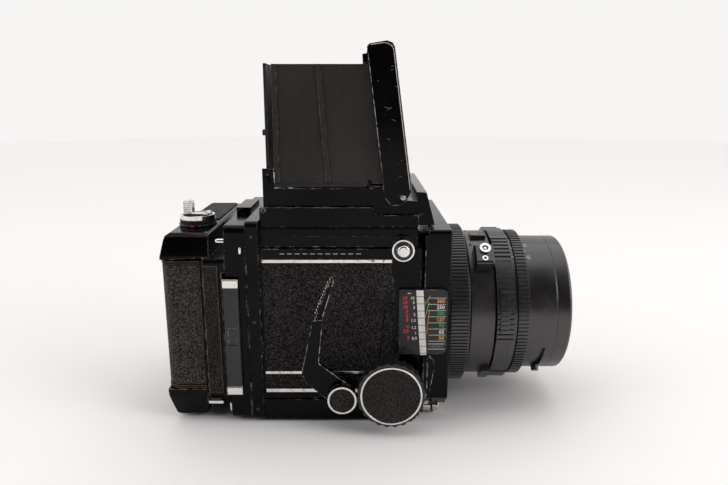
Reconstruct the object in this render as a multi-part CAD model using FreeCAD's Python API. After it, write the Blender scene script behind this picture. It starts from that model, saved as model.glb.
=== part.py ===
import FreeCAD
import Part
import math
import os

# Medium-format single lens reflex camera, in millimetres.
# +Z is up, the lens looks along -Y, the film back is at +Y, the camera's right side is -X.
# The origin is the mouth of the tripod socket, on the base plane.

V = FreeCAD.Vector
os.makedirs("parts", exist_ok=True)

# ---------------------------------------------------------------- driving dimensions
AXIS_Z = 55.2            # height of the lens axis
BODY_HW = 50.4           # half width of the casting
SKIN_X = 52.0            # outer face of the leather
BODY_FRONT = -37.0
BODY_REAR = 49.0
BODY_TOP = 112.0
SHOULDER_LOW = 102.9     # the shoulder slopes in between these two heights
SHOULDER_HIGH = 107.2
CHAMBER_HW = 37.0        # half width of the mirror chamber

STANDARD_FRONT = -55.2
STANDARD_REAR = -43.0
FOCUS_TRAVEL = 46.0

KNOB_Y, KNOB_Z = -22.7, 24.0
KNOB_R = 18.0
PINION_PITCH_R = 10.0
TOOTH_MODULE = 1.0

COCK_Y, COCK_Z = 3.9, 20.1
COCK_CAP_R = 7.9

MIRROR_PIN_Y, MIRROR_PIN_Z = 46.0, 95.0
MIRROR_LENGTH = 74.0

HOOD_TOP = 197.0
WING_X = 42.0
WING_T = 1.2
RIGHT_PIN_Z = 134.4
LEFT_PIN_Z = 137.2
REAR_PIN_Z = 140.0
REAR_PIN_Y = 43.9
LID_PIN_Y, LID_PIN_Z = -29.0, 128.0
LID_LEAN = 7.6

LOCK_RING_R = 48.5
BARREL_R = 44.3
SHUTTER_RING_R = 46.6
APERTURE_RING_R = 44.8
FRONT_R = 41.0
SPIGOT_R = 39.95
RING_BORE_R = 40.0
FILTER_THREAD_R = 38.1

BACK_PIVOT_R = 46.0
DOOR_PIN_X, DOOR_PIN_Y = 53.2, 80.6
WIND_X, WIND_Y = -25.0, 87.0
CAP_TOP = 109.2          # flat top of the film back
SPOOL_X, SPOOL_Y = -36.5, 87.3


# ---------------------------------------------------------------- helpers
def box(x0, x1, y0, y1, z0, z1):
    return Part.makeBox(x1 - x0, y1 - y0, z1 - z0, V(x0, y0, z0))


def cyl(axis, x, y, z, r, length):
    """Cylinder from (x, y, z) along a named axis; a negative length runs backwards."""
    d = {"X": V(1, 0, 0), "Y": V(0, 1, 0), "Z": V(0, 0, 1)}[axis]
    if length < 0:
        d = d * -1
    return Part.makeCylinder(r, abs(length), V(x, y, z), d)


def tube(axis, x, y, z, r_out, r_in, length):
    return cyl(axis, x, y, z, r_out, length).cut(cyl(axis, x, y, z, r_in, length))


def poly(points):
    return Part.Face(Part.makePolygon([V(*p) for p in points] + [V(*points[0])]))


def prism_x(yz, x0, x1):
    return poly([(x0, y, z) for y, z in yz]).extrude(V(x1 - x0, 0, 0))


def prism_y(xz, y0, y1):
    return poly([(x, y0, z) for x, z in xz]).extrude(V(0, y1 - y0, 0))


def prism_z(xy, z0, z1):
    return poly([(x, y, z0) for x, y in xy]).extrude(V(0, 0, z1 - z0))


def fuse(shapes):
    first = shapes[0]
    return first.fuse(shapes[1:]).removeSplitter() if len(shapes) > 1 else first


def cut(shape, tools):
    return shape.cut(tools)


def mirror_x(shape):
    return shape.mirror(V(0, 0, 0), V(1, 0, 0))


def both(shape):
    return [shape, mirror_x(shape)]


def turn(shape, point, axis, degrees):
    s = shape.copy()
    s.rotate(V(*point), V(*axis), degrees)
    return s


def rounded_y(x0, x1, z0, z1, r, y0, y1):
    """Block along Y whose four long edges are rounded."""
    b = box(x0, x1, y0, y1, z0, z1)
    edges = [e for e in b.Edges if abs(e.tangentAt(e.FirstParameter).y) > 0.99]
    return b.makeFillet(r, edges)


def rounded_x(y0, y1, z0, z1, r, x0, x1):
    b = box(x0, x1, y0, y1, z0, z1)
    edges = [e for e in b.Edges if abs(e.tangentAt(e.FirstParameter).x) > 0.99]
    return b.makeFillet(r, edges)


def soften(shape, r, test):
    """Fillet the edges that pass the test; keep the sharp shape where a fillet can't be made."""
    edges = [e for e in shape.Edges if test(e)]
    if not edges:
        return shape
    try:
        out = shape.makeFillet(r, edges)
        return out if out.isValid() else shape
    except Exception:
        return shape


def lens_turned(yr):
    """Revolve a (y, radius) outline about the lens axis."""
    face = poly([(r, y, AXIS_Z) for y, r in yr])
    return face.revolve(V(0, 0, AXIS_Z), V(0, 1, 0), 360)


def round_lens(radius, degrees):
    """The (x, z) point at an angle about the lens axis, measured from straight up."""
    angle = math.radians(degrees)
    return (radius * math.sin(angle), AXIS_Z + radius * math.cos(angle))


def toothed(axis, x, y, z, r_tip, r_root, width, count, phase=0.0, top=0.30, foot=0.62):
    """Gear or ribbed ring blank: a polygon of straight-sided teeth, extruded along the axis.
    top and foot are the tooth's shares of a pitch at its tip and at its root."""
    pts = []
    for k in range(count):
        mid = (k + phase) * 360.0 / count
        for off, r in ((-foot / 2, r_root), (-top / 2, r_tip), (top / 2, r_tip), (foot / 2, r_root)):
            a = math.radians(mid + off * 360.0 / count)
            pts.append((r * math.cos(a), r * math.sin(a)))
    if axis == "X":
        f = poly([(x, y + a, z + b) for a, b in pts])
        return f.extrude(V(width, 0, 0))
    if axis == "Y":
        f = poly([(x + a, y, z + b) for a, b in pts])
        return f.extrude(V(0, width, 0))
    f = poly([(x + a, y + b, z) for a, b in pts])
    return f.extrude(V(0, 0, width))


def screw_head(axis, x, y, z, r, height, sign):
    """Slotted cheese head with its shank, head face pointing along sign * axis."""
    head = cyl(axis, x, y, z, r, sign * height)
    shank = cyl(axis, x, y, z, r * 0.5, -sign * 2.0)
    s = head.fuse(shank)
    w, d = r * 0.16, 0.35
    if axis == "X":
        slot = box(x + sign * height - d, x + sign * height + d, y - r, y + r, z - w, z + w)
    elif axis == "Y":
        slot = box(x - r, x + r, y + sign * height - d, y + sign * height + d, z - w, z + w)
    else:
        slot = box(x - r, x + r, y - w, y + w, z + sign * height - d, z + sign * height + d)
    return s.cut(slot)


NODES = {}


def keep(name, shapes):
    """Store a node: one solid, or a group of separate solids of one kind."""
    solids = []
    for s in shapes if isinstance(shapes, list) else [shapes]:
        solids += s.Solids
    NODES[name] = solids[0] if len(solids) == 1 else Part.makeCompound(solids)


# ---------------------------------------------------------------- body casting
section = [
    (-BODY_HW, 13.6), (-BODY_HW, 31.0), (-BODY_HW, SHOULDER_LOW - 1.4), (-52.2, SHOULDER_LOW - 0.4),
    (-47.6, SHOULDER_HIGH), (-47.6, BODY_TOP),
]
outline = section + [(-x, z) for x, z in reversed(section)]
casting = prism_y(outline, BODY_FRONT, BODY_REAR)
floor_section = [(-48.6, 5.2), (-48.6, 14), (48.6, 14), (48.6, 5.2)]
casting = casting.fuse(prism_y(floor_section, BODY_FRONT + 1.4, BODY_REAR))
# front columns reach out to the leather's face, with a slanted rear edge
column_yz = [(-39.0, 13.6), (-39.0, 101.4), (-23.1, 101.4), (-23.1, 93.0), (-27.2, 40), (-27.2, 13.6)]
column = prism_x(column_yz, -SKIN_X, -48)
casting = casting.fuse(both(column))
# rear frame plate that carries the revolving adapter
rear_plate = rounded_y(-52.6, 52.6, 1.2, 116.0, 3.0, BODY_REAR - 0.4, 55.5)
casting = casting.fuse(rear_plate)
chamber = box(-CHAMBER_HW, CHAMBER_HW, -31.5, 50.0, 30.0, 101.0)
front_mouth = box(-CHAMBER_HW, CHAMBER_HW, -32.0, -30.0, 30.0, 88.2)
deep_floor = box(-CHAMBER_HW, CHAMBER_HW, -11.0, 50.0, 19.6, 30.5)
film_window = box(-35.0, 35.0, 49.0, 51.0, 27.2, 83.2)
bellows_seat = box(-42.6, 42.6, BODY_FRONT - 1, -31.0, 16.8, 93.6)
screen_well = box(-35.0, 35.0, -26.0, 42.0, 100.0, 113.0)
screen_seat = box(-37.4, 37.4, -27.4, 43.4, 105.0, 113.0)
casting = cut(casting, [chamber, deep_floor, film_window, front_mouth, bellows_seat])
casting = cut(casting, [screen_well, screen_seat])
casting = casting.cut(cyl("Y", 0, 50.2, AXIS_Z, BACK_PIVOT_R + 0.05, 8))
# focusing shaft bore, pinion pockets and rail channels
casting = casting.cut(cyl("X", -60, KNOB_Y, KNOB_Z, 3.05, 120))
pocket = cyl("X", -47.5, KNOB_Y, KNOB_Z, 11.6, 4.8)
channel = box(-47.4, -42.7, BODY_FRONT - 1, 44.0, 7.2, 15.4)
well = box(-47.4, -42.7, -34.0, -11.4, 7.2, 30.0)
casting = cut(casting, both(pocket) + both(channel) + both(well))
# cocking shaft bore and its quadrant pocket, on the right side
casting = casting.cut(cyl("X", -60, COCK_Y, COCK_Z, 3.05, 20.6))
casting = casting.cut(cyl("X", -42.3, COCK_Y, COCK_Z, 9.0, 4.4))
casting = casting.cut(box(-42.3, -37.9, COCK_Y - 8.9, COCK_Y + 8.9, COCK_Z, COCK_Z + 3))
# slots for the mirror pin's ends
casting = casting.cut(cyl("X", -41, MIRROR_PIN_Y, MIRROR_PIN_Z, 1.2, 82))
# tripod bush hole
casting = casting.cut(cyl("Z", 0, 0, 4.0, 8.6, 4.6))
casting = soften(casting, 1.0, lambda e: abs(e.tangentAt(e.FirstParameter).y) > 0.99
                 and e.Length > 30 and e.BoundBox.ZMin > 110 and abs(e.BoundBox.XMin) > 45)
# long plain plates under the shoulders, for a name that is left out
for plate in both(rounded_x(-22.8, 47.0, 95.7, 101.3, 0.6, -52.1, -50.0)):
    casting = casting.fuse(plate)
keep("body_casting", casting)

# ---------------------------------------------------------------- skins and trim on both sides
main_yz = [(46.9, 31.4), (46.9, 93.2), (-22.6, 93.2), (-26.8, 41.0), (-26.8, 31.4)]
main_panel = prism_x(main_yz, -SKIN_X, -BODY_HW)
small_panel = prism_x([(46.9, 20.8), (46.9, 28.9), (-26.8, 28.9), (-26.8, 20.8)], -SKIN_X, -BODY_HW)
knob_hole = cyl("X", -60, KNOB_Y, KNOB_Z, 10.9, 15)
cock_hole = cyl("X", -60, COCK_Y, COCK_Z, 6.6, 15)
right_skin = [main_panel.cut([knob_hole, cock_hole]), small_panel.cut([knob_hole, cock_hole])]
left_skin = [mirror_x(main_panel.cut(knob_hole)), mirror_x(small_panel.cut(knob_hole))]
keep("body_leather", right_skin + left_skin)

strips = [
    box(-52.5, -BODY_HW, -23.0, 47.0, 93.6, 95.5),
    box(-52.5, -BODY_HW, -26.8, 47.0, 29.3, 31.0),
    box(-52.5, -BODY_HW, -26.8, 47.0, 18.2, 20.4),
]
right_strips = [s.cut([knob_hole, cock_hole]) for s in strips]
left_strips = [mirror_x(s.cut(knob_hole)) for s in strips]
keep("trim_strips", right_strips + left_strips)


# ---------------------------------------------------------------- base cover and tripod bush
tray = box(-51.4, 51.4, BODY_FRONT - 0.6, 48.4, 0, 13.3)
tray = soften(tray, 2.2, lambda e: e.BoundBox.ZMax < 0.1)
tray = tray.cut(box(-48.6, 48.6, BODY_FRONT - 2, 49, 5.2, 14))
tray = tray.cut(box(-48.6, 48.6, BODY_FRONT - 2, BODY_FRONT + 1.4, 1.5, 14))
tray = tray.cut([knob_hole, cyl("X", 45, KNOB_Y, KNOB_Z, 10.9, 15)])
tray = tray.cut(cyl("Z", 0, 0, -1, 8.0, 8))
keep("base_cover", tray)
bush = cyl("Z", 0, 0, 0, 8.0, 7.5).fuse(cyl("Z", 0, 0, 5.3, 8.5, 2.2))
bush = bush.cut(cyl("Z", 0, 0, -1, 4.0, 7.5))
keep("tripod_bush", bush)

# ---------------------------------------------------------------- strap lugs
lug = cyl("X", -47.0, -28.9, 101.0, 6.0, -8.0).fuse(cyl("X", -54.8, -28.9, 101.0, 3.4, -3.0))
lug = soften(lug, 1.2, lambda e: e.BoundBox.XMax < -57.5)
lug = lug.cut(tube("X", -56.0, -28.9, 101.0, 5.2, 3.4, 1.2))
lug = lug.cut(casting)
lug = max(lug.Solids, key=lambda part: part.Volume)
keep("strap_lugs", both(lug))

# ---------------------------------------------------------------- distance scale
fixed_scale = rounded_x(-39.0, -27.1, 41.9, 79.2, 0.9, -54.2, -SKIN_X)
ruler = prism_x([(-36.1, 78.9), (-40.0, 78.9), (-42.5, 41.8), (-39.0, 41.8)], -54.9, -54.2)
scale_holes = [cyl("X", -56, y, z, 0.56, 4) for y, z in ((-29.2, 76.2), (-31.2, 44.8))]
keep("distance_scale", fixed_scale.cut(scale_holes))
keep("distance_ruler", ruler)
moving = box(-54.0, -SKIN_X, -53.6, -39.4, 41.9, 79.2)
moving = soften(moving, 3.4, lambda e: abs(e.tangentAt(e.FirstParameter).x) > 0.99 and e.BoundBox.YMax < -50)
keep("moving_scale", moving)

# ---------------------------------------------------------------- accessory shoe on the left side (a guess)
shoe = box(SKIN_X, 57.6, 6.0, 24.0, 62.0, 82.0)
shoe = shoe.cut(box(53.6, 56.2, 8.0, 22.0, 60.0, 81.0))
shoe = shoe.cut(box(55, 58, 10.0, 20.0, 60.0, 80.0))
keep("accessory_shoe", shoe)

# ---------------------------------------------------------------- focusing screen
keep("focusing_screen", box(-37.0, 37.0, -27.0, 43.0, 105.0, 107.6))

# ---------------------------------------------------------------- front standard
half = [(-SKIN_X, 14.6), (-SKIN_X, 111.4), (SKIN_X, 111.4), (SKIN_X, 14.6), (41.0, 4.8), (-41.0, 4.8)]
standard = prism_y(half, STANDARD_FRONT, STANDARD_REAR)
standard = soften(standard, 2.0, lambda e: abs(e.tangentAt(e.FirstParameter).y) > 0.99)
standard = soften(standard, 0.8, lambda e: e.BoundBox.YMax < STANDARD_FRONT + 0.01)
standard = standard.cut(cyl("Y", 0, STANDARD_FRONT - 1, AXIS_Z, 38.0, 14))
standard = standard.cut(box(-42.6, 42.6, -45.6, -42.0, 16.8, 93.6))
# the raised pad beside the scale, on both sides
pad_yz = [(-43.2, 41.2), (-43.2, 16.0), (-44.5, 16.0), (-47.4, 34.0), (-46.8, 37.6), (-43.4, 41.2)]
pad = prism_x(pad_yz, -53.2, -51)
standard = standard.fuse(both(pad))
# thin flanges that reach back beside the bellows
standard = standard.fuse(both(box(-SKIN_X, -49.4, -43.4, -41.0, 16.6, 108.0)))
# housing of the shutter release, hanging below the right corner
standard = standard.cut(box(-44.2, -35.0, -56.0, -42.9, 0, 8.3))
front_lug = box(-43.2, -36.0, -47.9, -46.9, 0.9, 9.0)
rear_lug = box(-43.2, -36.0, -42.0, -41.0, 0.9, 9.0).fuse(box(-43.2, -36.0, -43.4, -41.0, 8.6, 12.0))
standard = fuse([standard, front_lug, rear_lug])
standard = standard.cut(cyl("Y", -39.6, -50, 4.1, 2.4, 12))

# toothed rails, running back into the body under the chamber
PITCH = math.pi * TOOTH_MODULE
RAIL_TOP = KNOB_Z - PINION_PITCH_R
rail_pts = [(-45.0, 8.0), (43.0, 8.0)]
top_pts = []
steps = 25
for k in range(steps):
    # one gap between teeth sits straight below the pinion shaft
    c = KNOB_Y + (k - 6) * PITCH
    if c - PITCH / 2 < -42.4:
        continue
    for off, h in ((-0.41, 1.0), (-0.17, -1.15), (0.17, -1.15), (0.41, 1.0)):
        top_pts.append((c + off * PITCH, RAIL_TOP + h * 0.9 * TOOTH_MODULE))
rail_pts += [(43.0, RAIL_TOP + 0.9)]
rail_pts += list(reversed(top_pts)) + [(-45.0, RAIL_TOP + 0.9)]
rail = prism_x(rail_pts, -47.0, -43.0)
keep("focus_rails", both(rail))
keep("front_standard", standard.cut(both(rail)))

# bellows: zigzag frame of rectangular pleats between body and standard
def bellows(y0, y1, pleats, x_out, z_out, depth, cloth):
    outer, inner = [], []
    n = pleats * 2
    for k in range(n + 1):
        y = y0 + (y1 - y0) * k / n
        d = 0 if k % 2 == 0 else depth
        outer.append((y, d))
        inner.append((y, d + cloth))
    def loop(y, d):
        a, b = x_out - d, z_out - d
        return Part.makePolygon([
            V(-a, y, AXIS_Z - b), V(a, y, AXIS_Z - b), V(a, y, AXIS_Z + b), V(-a, y, AXIS_Z + b),
            V(-a, y, AXIS_Z - b)])
    shell = Part.makeLoft([loop(y, d) for y, d in outer], True, True)
    core = Part.makeLoft([loop(y, d) for y, d in inner], True, True)
    return shell.cut(core)


keep("bellows", bellows(-45.6, -31.1, 6, 42.0, 37.9, 3.4, 1.4))

# shutter release: collar turns, button slides inside it
keep("release_collar", tube("Y", -39.6, -46.6, 4.1, 3.6, 2.38, 4.3))
button = cyl("Y", -39.6, -51.6, 4.1, 3.3, 1.6).fuse(cyl("Y", -39.6, -50.2, 4.1, 2.3, 10.0))
button = soften(button, 0.5, lambda e: e.BoundBox.YMax < -51.5)
keep("shutter_release", button)

# ---------------------------------------------------------------- focusing shaft, pinions, knobs
shaft = cyl("X", -66.0, KNOB_Y, KNOB_Z, 3.0, 132.0)
pinion = toothed("X", -47.0, KNOB_Y, KNOB_Z, PINION_PITCH_R + 0.9, PINION_PITCH_R - 1.15,
                 4.0, 20, 0.0, 0.26, 0.62)
pinion = turn(pinion, (-47, KNOB_Y, KNOB_Z), (1, 0, 0), 0.0)
keep("focus_shaft", fuse([shaft, pinion, mirror_x(pinion)]))


def scalloped(x0, x1, r, dip, count):
    body = cyl("X", x0, KNOB_Y, KNOB_Z, r, x1 - x0)
    bites = []
    for k in range(count):
        a = 2 * math.pi * k / count
        y = KNOB_Y + (r + dip * 2.2) * math.cos(a)
        z = KNOB_Z + (r + dip * 2.2) * math.sin(a)
        bites.append(cyl("X", x0 - 1, y, z, dip * 3.0, x1 - x0 + 2))
    return body.cut(bites)


knob = scalloped(-68.6, -61.5, KNOB_R + 0.5, 0.9, 24)
knob = knob.fuse(cyl("X", -62.0, KNOB_Y, KNOB_Z, 15.0, 2.0))
knob = knob.fuse(cyl("X", -60.2, KNOB_Y, KNOB_Z, 10.2, 7.4))
knob = knob.cut([cyl("X", -66.1, KNOB_Y, KNOB_Z, 3.0, 30), cyl("X", -69, KNOB_Y, KNOB_Z, 16.7, 1.6)])
keep("focus_knobs", both(knob))
keep("focus_knob_rings", both(tube("X", -69.4, KNOB_Y, KNOB_Z, 16.7, 15.7, 2.0)))
keep("focus_knob_caps", both(cyl("X", -69.1, KNOB_Y, KNOB_Z, 15.7, 1.7)))

# focus lock lever on the left side (a guess)
lock = tube("X", 53.0, KNOB_Y, KNOB_Z, 13.6, 10.3, 3.0)
lock = lock.fuse(turn(box(53.0, 56.0, KNOB_Y - 2.4, KNOB_Y + 2.4, KNOB_Z + 12.4, KNOB_Z + 27.0),
                      (53, KNOB_Y, KNOB_Z), (1, 0, 0), -38))
keep("focus_lock_lever", lock)

# ---------------------------------------------------------------- cocking lever
arm_pts = [
    (COCK_Y - 4.0, COCK_Z - 6.2), (COCK_Y + 6.6, COCK_Z - 3.6), (23.9, 28.4), (26.0, 34.0),
    (19.6, 64.0), (14.0, 64.6), (16.6, 39.6), (COCK_Y - 4.6, COCK_Z + 6.2),
]
arm = prism_x(arm_pts, -61.2, -57.6)
arm = arm.fuse(cyl("X", -64.6, COCK_Y, COCK_Z, 7.4, 7.0))
arm = soften(arm, 1.4, lambda e: abs(e.tangentAt(e.FirstParameter).x) > 0.99
             and e.Length < 4 and e.BoundBox.ZMin > 27)
arm = arm.fuse(cyl("X", -57.8, COCK_Y, COCK_Z, 5.6, 5.0))
tip_pts = [(18.4, 62.0), (14.4, 62.0), (13.9, 66.0), (8.0, 85.4), (8.6, 89.0)]
teeth = 9
for k in range(teeth + 1):
    t = k / teeth
    y = 10.4 + (18.2 - 10.4) * t
    z = 86.4 + (67.0 - 86.4) * t
    tip_pts += [(y, z), (y - 0.75, z - 1.0)]
tip_pts += [(18.6, 65.0)]
tip = prism_x(tip_pts, -60.0, -58.8)
arm = arm.fuse(tip)
arm = arm.cut(cyl("X", -66, COCK_Y, COCK_Z, 3.0, 15))
keep("cocking_lever", arm)
keep("cocking_cap", cyl("X", -66.4, COCK_Y, COCK_Z, COCK_CAP_R, 1.8))
rod = cyl("X", -64.6, COCK_Y, COCK_Z, 3.0, 25.4)
quadrant = toothed("X", -41.9, COCK_Y, COCK_Z, 8.6, 7.2, 3.6, 22)
quadrant = quadrant.cut(box(-43, -37, COCK_Y - 9, COCK_Y + 9, COCK_Z + 3.0, COCK_Z + 12))
keep("cocking_shaft", fuse([rod, quadrant]))

# ---------------------------------------------------------------- mirror, shown down at 45 degrees
frame_plate = box(-33.5, 33.5, MIRROR_PIN_Y - 3 - MIRROR_LENGTH, MIRROR_PIN_Y - 1.0, 94.0, 96.0)
knuckles = [cyl("X", x, MIRROR_PIN_Y, MIRROR_PIN_Z, 2.2, 8.0) for x in (-33.5, -4.0, 25.5)]
mirror_frame = fuse([frame_plate] + knuckles)
mirror_frame = mirror_frame.cut(cyl("X", -40, MIRROR_PIN_Y, MIRROR_PIN_Z, 1.25, 80))
mirror_glass = box(-32.5, 32.5, MIRROR_PIN_Y - 2 - MIRROR_LENGTH, MIRROR_PIN_Y - 4.0, 91.8, 94.0)
pivot = (0, MIRROR_PIN_Y, MIRROR_PIN_Z)
keep("mirror_frame", turn(mirror_frame, pivot, (1, 0, 0), 45))
keep("mirror_glass", turn(mirror_glass, pivot, (1, 0, 0), 45))

# ---------------------------------------------------------------- hood base
base_low = box(-46.0, 46.0, -37.5, 48.3, 112.0, 122.6)
base_high = box(-43.2, 43.2, -36.0, 46.4, 122.6, 132.6)
nose = prism_x([(-35.5, 112.6), (-46.5, 112.6), (-41.8, 130.4), (-38.4, 130.6), (-35.5, 130.6)], -43.6, 43.6)
hood_base = fuse([base_low, base_high, nose])
hood_base = hood_base.cut(box(-38.5, 38.5, -30.5, 41.5, 111.0, 134.0))
# relief beside the lid's lower corners, where the lid's side flanges turn
for side in (-1, 1):
    relief = cyl("X", side * 43.2, LID_PIN_Y, LID_PIN_Z, 17.0, side * 5.0)
    relief = relief.common(box(-60, 60, -60, -10, 118.4, 150))
    hood_base = hood_base.cut(relief)
hood_base = hood_base.cut(prism_x([(-28.0, 126.0), (-28.0, 140), (-48, 140), (-48, 131.0), (-36.6, 131.0),
                                   (-36.6, 126.0)], -60, 60).common(box(-60, 60, -37.0, -30.4, 125.0, 140)))
# pin ears: right wing low, left wing higher, rear wing highest, so the wings stack when folded
ear_r = [box(-43.2, -40.6, y, y + 1.6, 132.0, RIGHT_PIN_Z + 1.6) for y in (-11.6, 40.4)]
ear_l = [box(40.6, 43.2, y, y + 1.6, 132.0, LEFT_PIN_Z + 1.6) for y in (-11.6, 40.4)]
ear_b = [box(x, x + 1.4, 40.4, 46.4, 132.0, REAR_PIN_Z + 3.2) for x in (-43.2, 41.8)]
hood_base = fuse([hood_base] + ear_r + ear_l + ear_b)
pin_holes = [
    cyl("Y", -WING_X, -12, RIGHT_PIN_Z, 0.8, 56), cyl("Y", WING_X, -12, LEFT_PIN_Z, 0.8, 56),
    cyl("X", -44, REAR_PIN_Y, REAR_PIN_Z, 0.8, 88),
    cyl("X", -48, LID_PIN_Y, LID_PIN_Z, 1.5, 96),
]
hood_base = hood_base.cut(pin_holes)
keep("hood_base", hood_base)

# all hinge pins that stay with the body
pins = [
    cyl("Y", -WING_X, -11.6, RIGHT_PIN_Z, 0.8, 53.6), cyl("Y", WING_X, -11.6, LEFT_PIN_Z, 0.8, 53.6),
    cyl("X", -43.2, REAR_PIN_Y, REAR_PIN_Z, 0.8, 86.4),
    cyl("X", -40.9, MIRROR_PIN_Y, MIRROR_PIN_Z, 1.2, 81.8),
]
for side in (-1, 1):
    pins.append(cyl("X", side * 38.6, LID_PIN_Y, LID_PIN_Z, 1.5, side * 7.4))


# ---------------------------------------------------------------- hood wings
def rolled(axis, start, r_pin, r_out, length):
    return tube(axis, start[0], start[1], start[2], r_out, r_pin + 0.06, length)


def side_wing(side, pin_z):
    x = side * WING_X
    x0, x1 = sorted((x - WING_T / 2, x + WING_T / 2))
    panel = prism_x([(-10.0, pin_z), (-10.0, pin_z + 2.4), (-12.0, pin_z + 2.4), (-12.0, pin_z - 1.2),
                     (-20.0, pin_z - 1.2), (-25.6, pin_z + 3.4), (-17.0, HOOD_TOP), (39.9, HOOD_TOP),
                     (39.9, pin_z)], x0, x1)
    panel = panel.cut(cyl("Y", x, -20, pin_z, 0.86, 80))
    roll = rolled("Y", (x, -9.0, pin_z), 0.8, 1.35, 48.9)
    o0, o1 = sorted((x + side * 0.5, x + side * 1.5))
    rib1 = prism_x([(37.4, pin_z + 2), (37.4, HOOD_TOP), (39.9, HOOD_TOP), (39.9, pin_z + 2)], o0, o1)
    rib2_yz = [(10.0, pin_z + 2), (14.6, HOOD_TOP), (17.0, HOOD_TOP), (12.4, pin_z + 2)]
    rib2 = prism_x(rib2_yz, o0, o1)
    return fuse([panel, roll, rib1, rib2])


keep("hood_wing_right", side_wing(-1, RIGHT_PIN_Z))
keep("hood_wing_left", side_wing(1, LEFT_PIN_Z))

rear = box(-40.4, 40.4, REAR_PIN_Y - 0.6, REAR_PIN_Y + 0.6, REAR_PIN_Z, HOOD_TOP + 0.5)
rear = rear.cut(cyl("X", -50, REAR_PIN_Y, REAR_PIN_Z, 0.86, 100))
rear_roll = rolled("X", (-40.4, REAR_PIN_Y, REAR_PIN_Z), 0.8, 1.35, 80.8)
nub = cyl("Y", -38.0, REAR_PIN_Y + 0.4, 162.0, 1.6, 1.8)
flanges = [box(-40.4, -39.6, REAR_PIN_Y - 1.0, REAR_PIN_Y, REAR_PIN_Z + 4, HOOD_TOP + 0.5)]
flanges += [mirror_x(flanges[0])]
keep("hood_rear_wing", fuse([rear, rear_roll, nub] + flanges))

# ---------------------------------------------------------------- hood lid: a shallow tray, leaning back
# drawn in its own plane: u runs up the panel, w runs rearwards from it
LID_W = 45.2
FLANGE_IN = 43.9


def lid_point(u, w):
    a = math.radians(LID_LEAN)
    y0, z0 = -34.6, 124.4
    return (y0 + u * math.sin(a) + w * math.cos(a), z0 + u * math.cos(a) - w * math.sin(a))


def lid_prism(uw, x0, x1):
    return prism_x([lid_point(u, w) for u, w in uw], x0, x1)


side_outline = [(1.5, 4.0), (0.2, 8.0), (0.6, 12.0), (6.0, 15.4), (14.6, 14.8), (83.6, 14.2), (85.0, 12.6),
                (85.2, 3.6), (83.8, 0.8), (81.5, 0.0), (7.0, 0.0)]
flange_r = lid_prism(side_outline, -LID_W, -FLANGE_IN)
flange_l = mirror_x(flange_r)
panel = lid_prism([(7.0, 0.0), (7.0, 1.4), (81.8, 1.4), (81.5, 0.0)], -LID_W, LID_W)
lip = lid_prism([(81.5, 0.0), (81.0, 1.2), (82.8, 2.2), (84.0, 4.2), (84.0, 14.0), (85.0, 12.6), (85.2, 3.6),
                 (83.8, 0.8)], -LID_W, LID_W)
corner = lid_prism([(75.8, 13.6), (80.4, 13.2), (80.4, 17.0), (75.8, 17.4)], -44.9, -43.6)
lid = fuse([panel, flange_r, flange_l, lip] + both(corner))
lid = lid.cut(cyl("X", -50, LID_PIN_Y, LID_PIN_Z, 1.56, 100))
# fork of the magnifier: two lugs under the top lip
mag_u, mag_w = 77.6, 5.0
MAG_Y, MAG_Z = lid_point(mag_u, mag_w)
lugs = []
for x0 in (-25.4, 23.8):
    lugs.append(lid_prism([(mag_u - 2.6, 1.0), (mag_u - 2.6, mag_w + 1.8), (mag_u + 1.8, mag_w + 1.8),
                           (84.6, 1.0)], x0, x0 + 1.6))
lid = fuse([lid] + lugs)
lid = lid.cut(cyl("X", -30, MAG_Y, MAG_Z, 0.9, 60))
keep("hood_lid", lid)
keep("magnifier_pins", [cyl("X", -25.4, MAG_Y, MAG_Z, 0.9, 4.6), cyl("X", 20.8, MAG_Y, MAG_Z, 0.9, 4.6)])

# magnifier frame hangs down from the lugs, parallel to the lid
frame_uw = [(mag_u + 1.4, mag_w - 1.2), (mag_u + 1.4, mag_w + 1.2), (mag_u - 46.0, mag_w + 1.2),
            (mag_u - 46.0, mag_w - 1.2)]
mag = lid_prism(frame_uw, -23.4, 23.4)
lens_y, lens_z = lid_point(mag_u - 25.0, mag_w)
a = math.radians(LID_LEAN)
across = V(0, math.cos(a), -math.sin(a))
start = V(0, lens_y, lens_z) - across * 6
mag = mag.cut(Part.makeCylinder(17.0, 12, start, across))
mag = mag.cut(cyl("X", -30, MAG_Y, MAG_Z, 0.96, 60))
mag = mag.fuse(Part.makeCylinder(18.6, 3.0, V(0, lens_y, lens_z) - across * 1.2, across)
               .cut(Part.makeCylinder(17.0, 4.0, V(0, lens_y, lens_z) - across * 2, across)))
keep("magnifier_frame", mag)
loupe = Part.makeCylinder(17.0, 1.6, V(0, lens_y, lens_z) - across * 0.8, across)
keep("magnifier_lens", loupe)

# ---------------------------------------------------------------- lens
ring = toothed("Y", 0, -67.6, AXIS_Z, LOCK_RING_R, LOCK_RING_R - 0.8, 12.0, 144, 0, 0.42, 0.72)
ring = ring.common(lens_turned([(-67.6, 0), (-67.6, LOCK_RING_R - 1.4), (-66.4, LOCK_RING_R + 0.1),
                                (-56.8, LOCK_RING_R + 0.1), (-55.6, LOCK_RING_R - 1.4), (-55.6, 0)]))
ring = ring.cut(cyl("Y", 0, -70, AXIS_Z, RING_BORE_R, 20))
keep("lens_lock_ring", ring)

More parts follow.
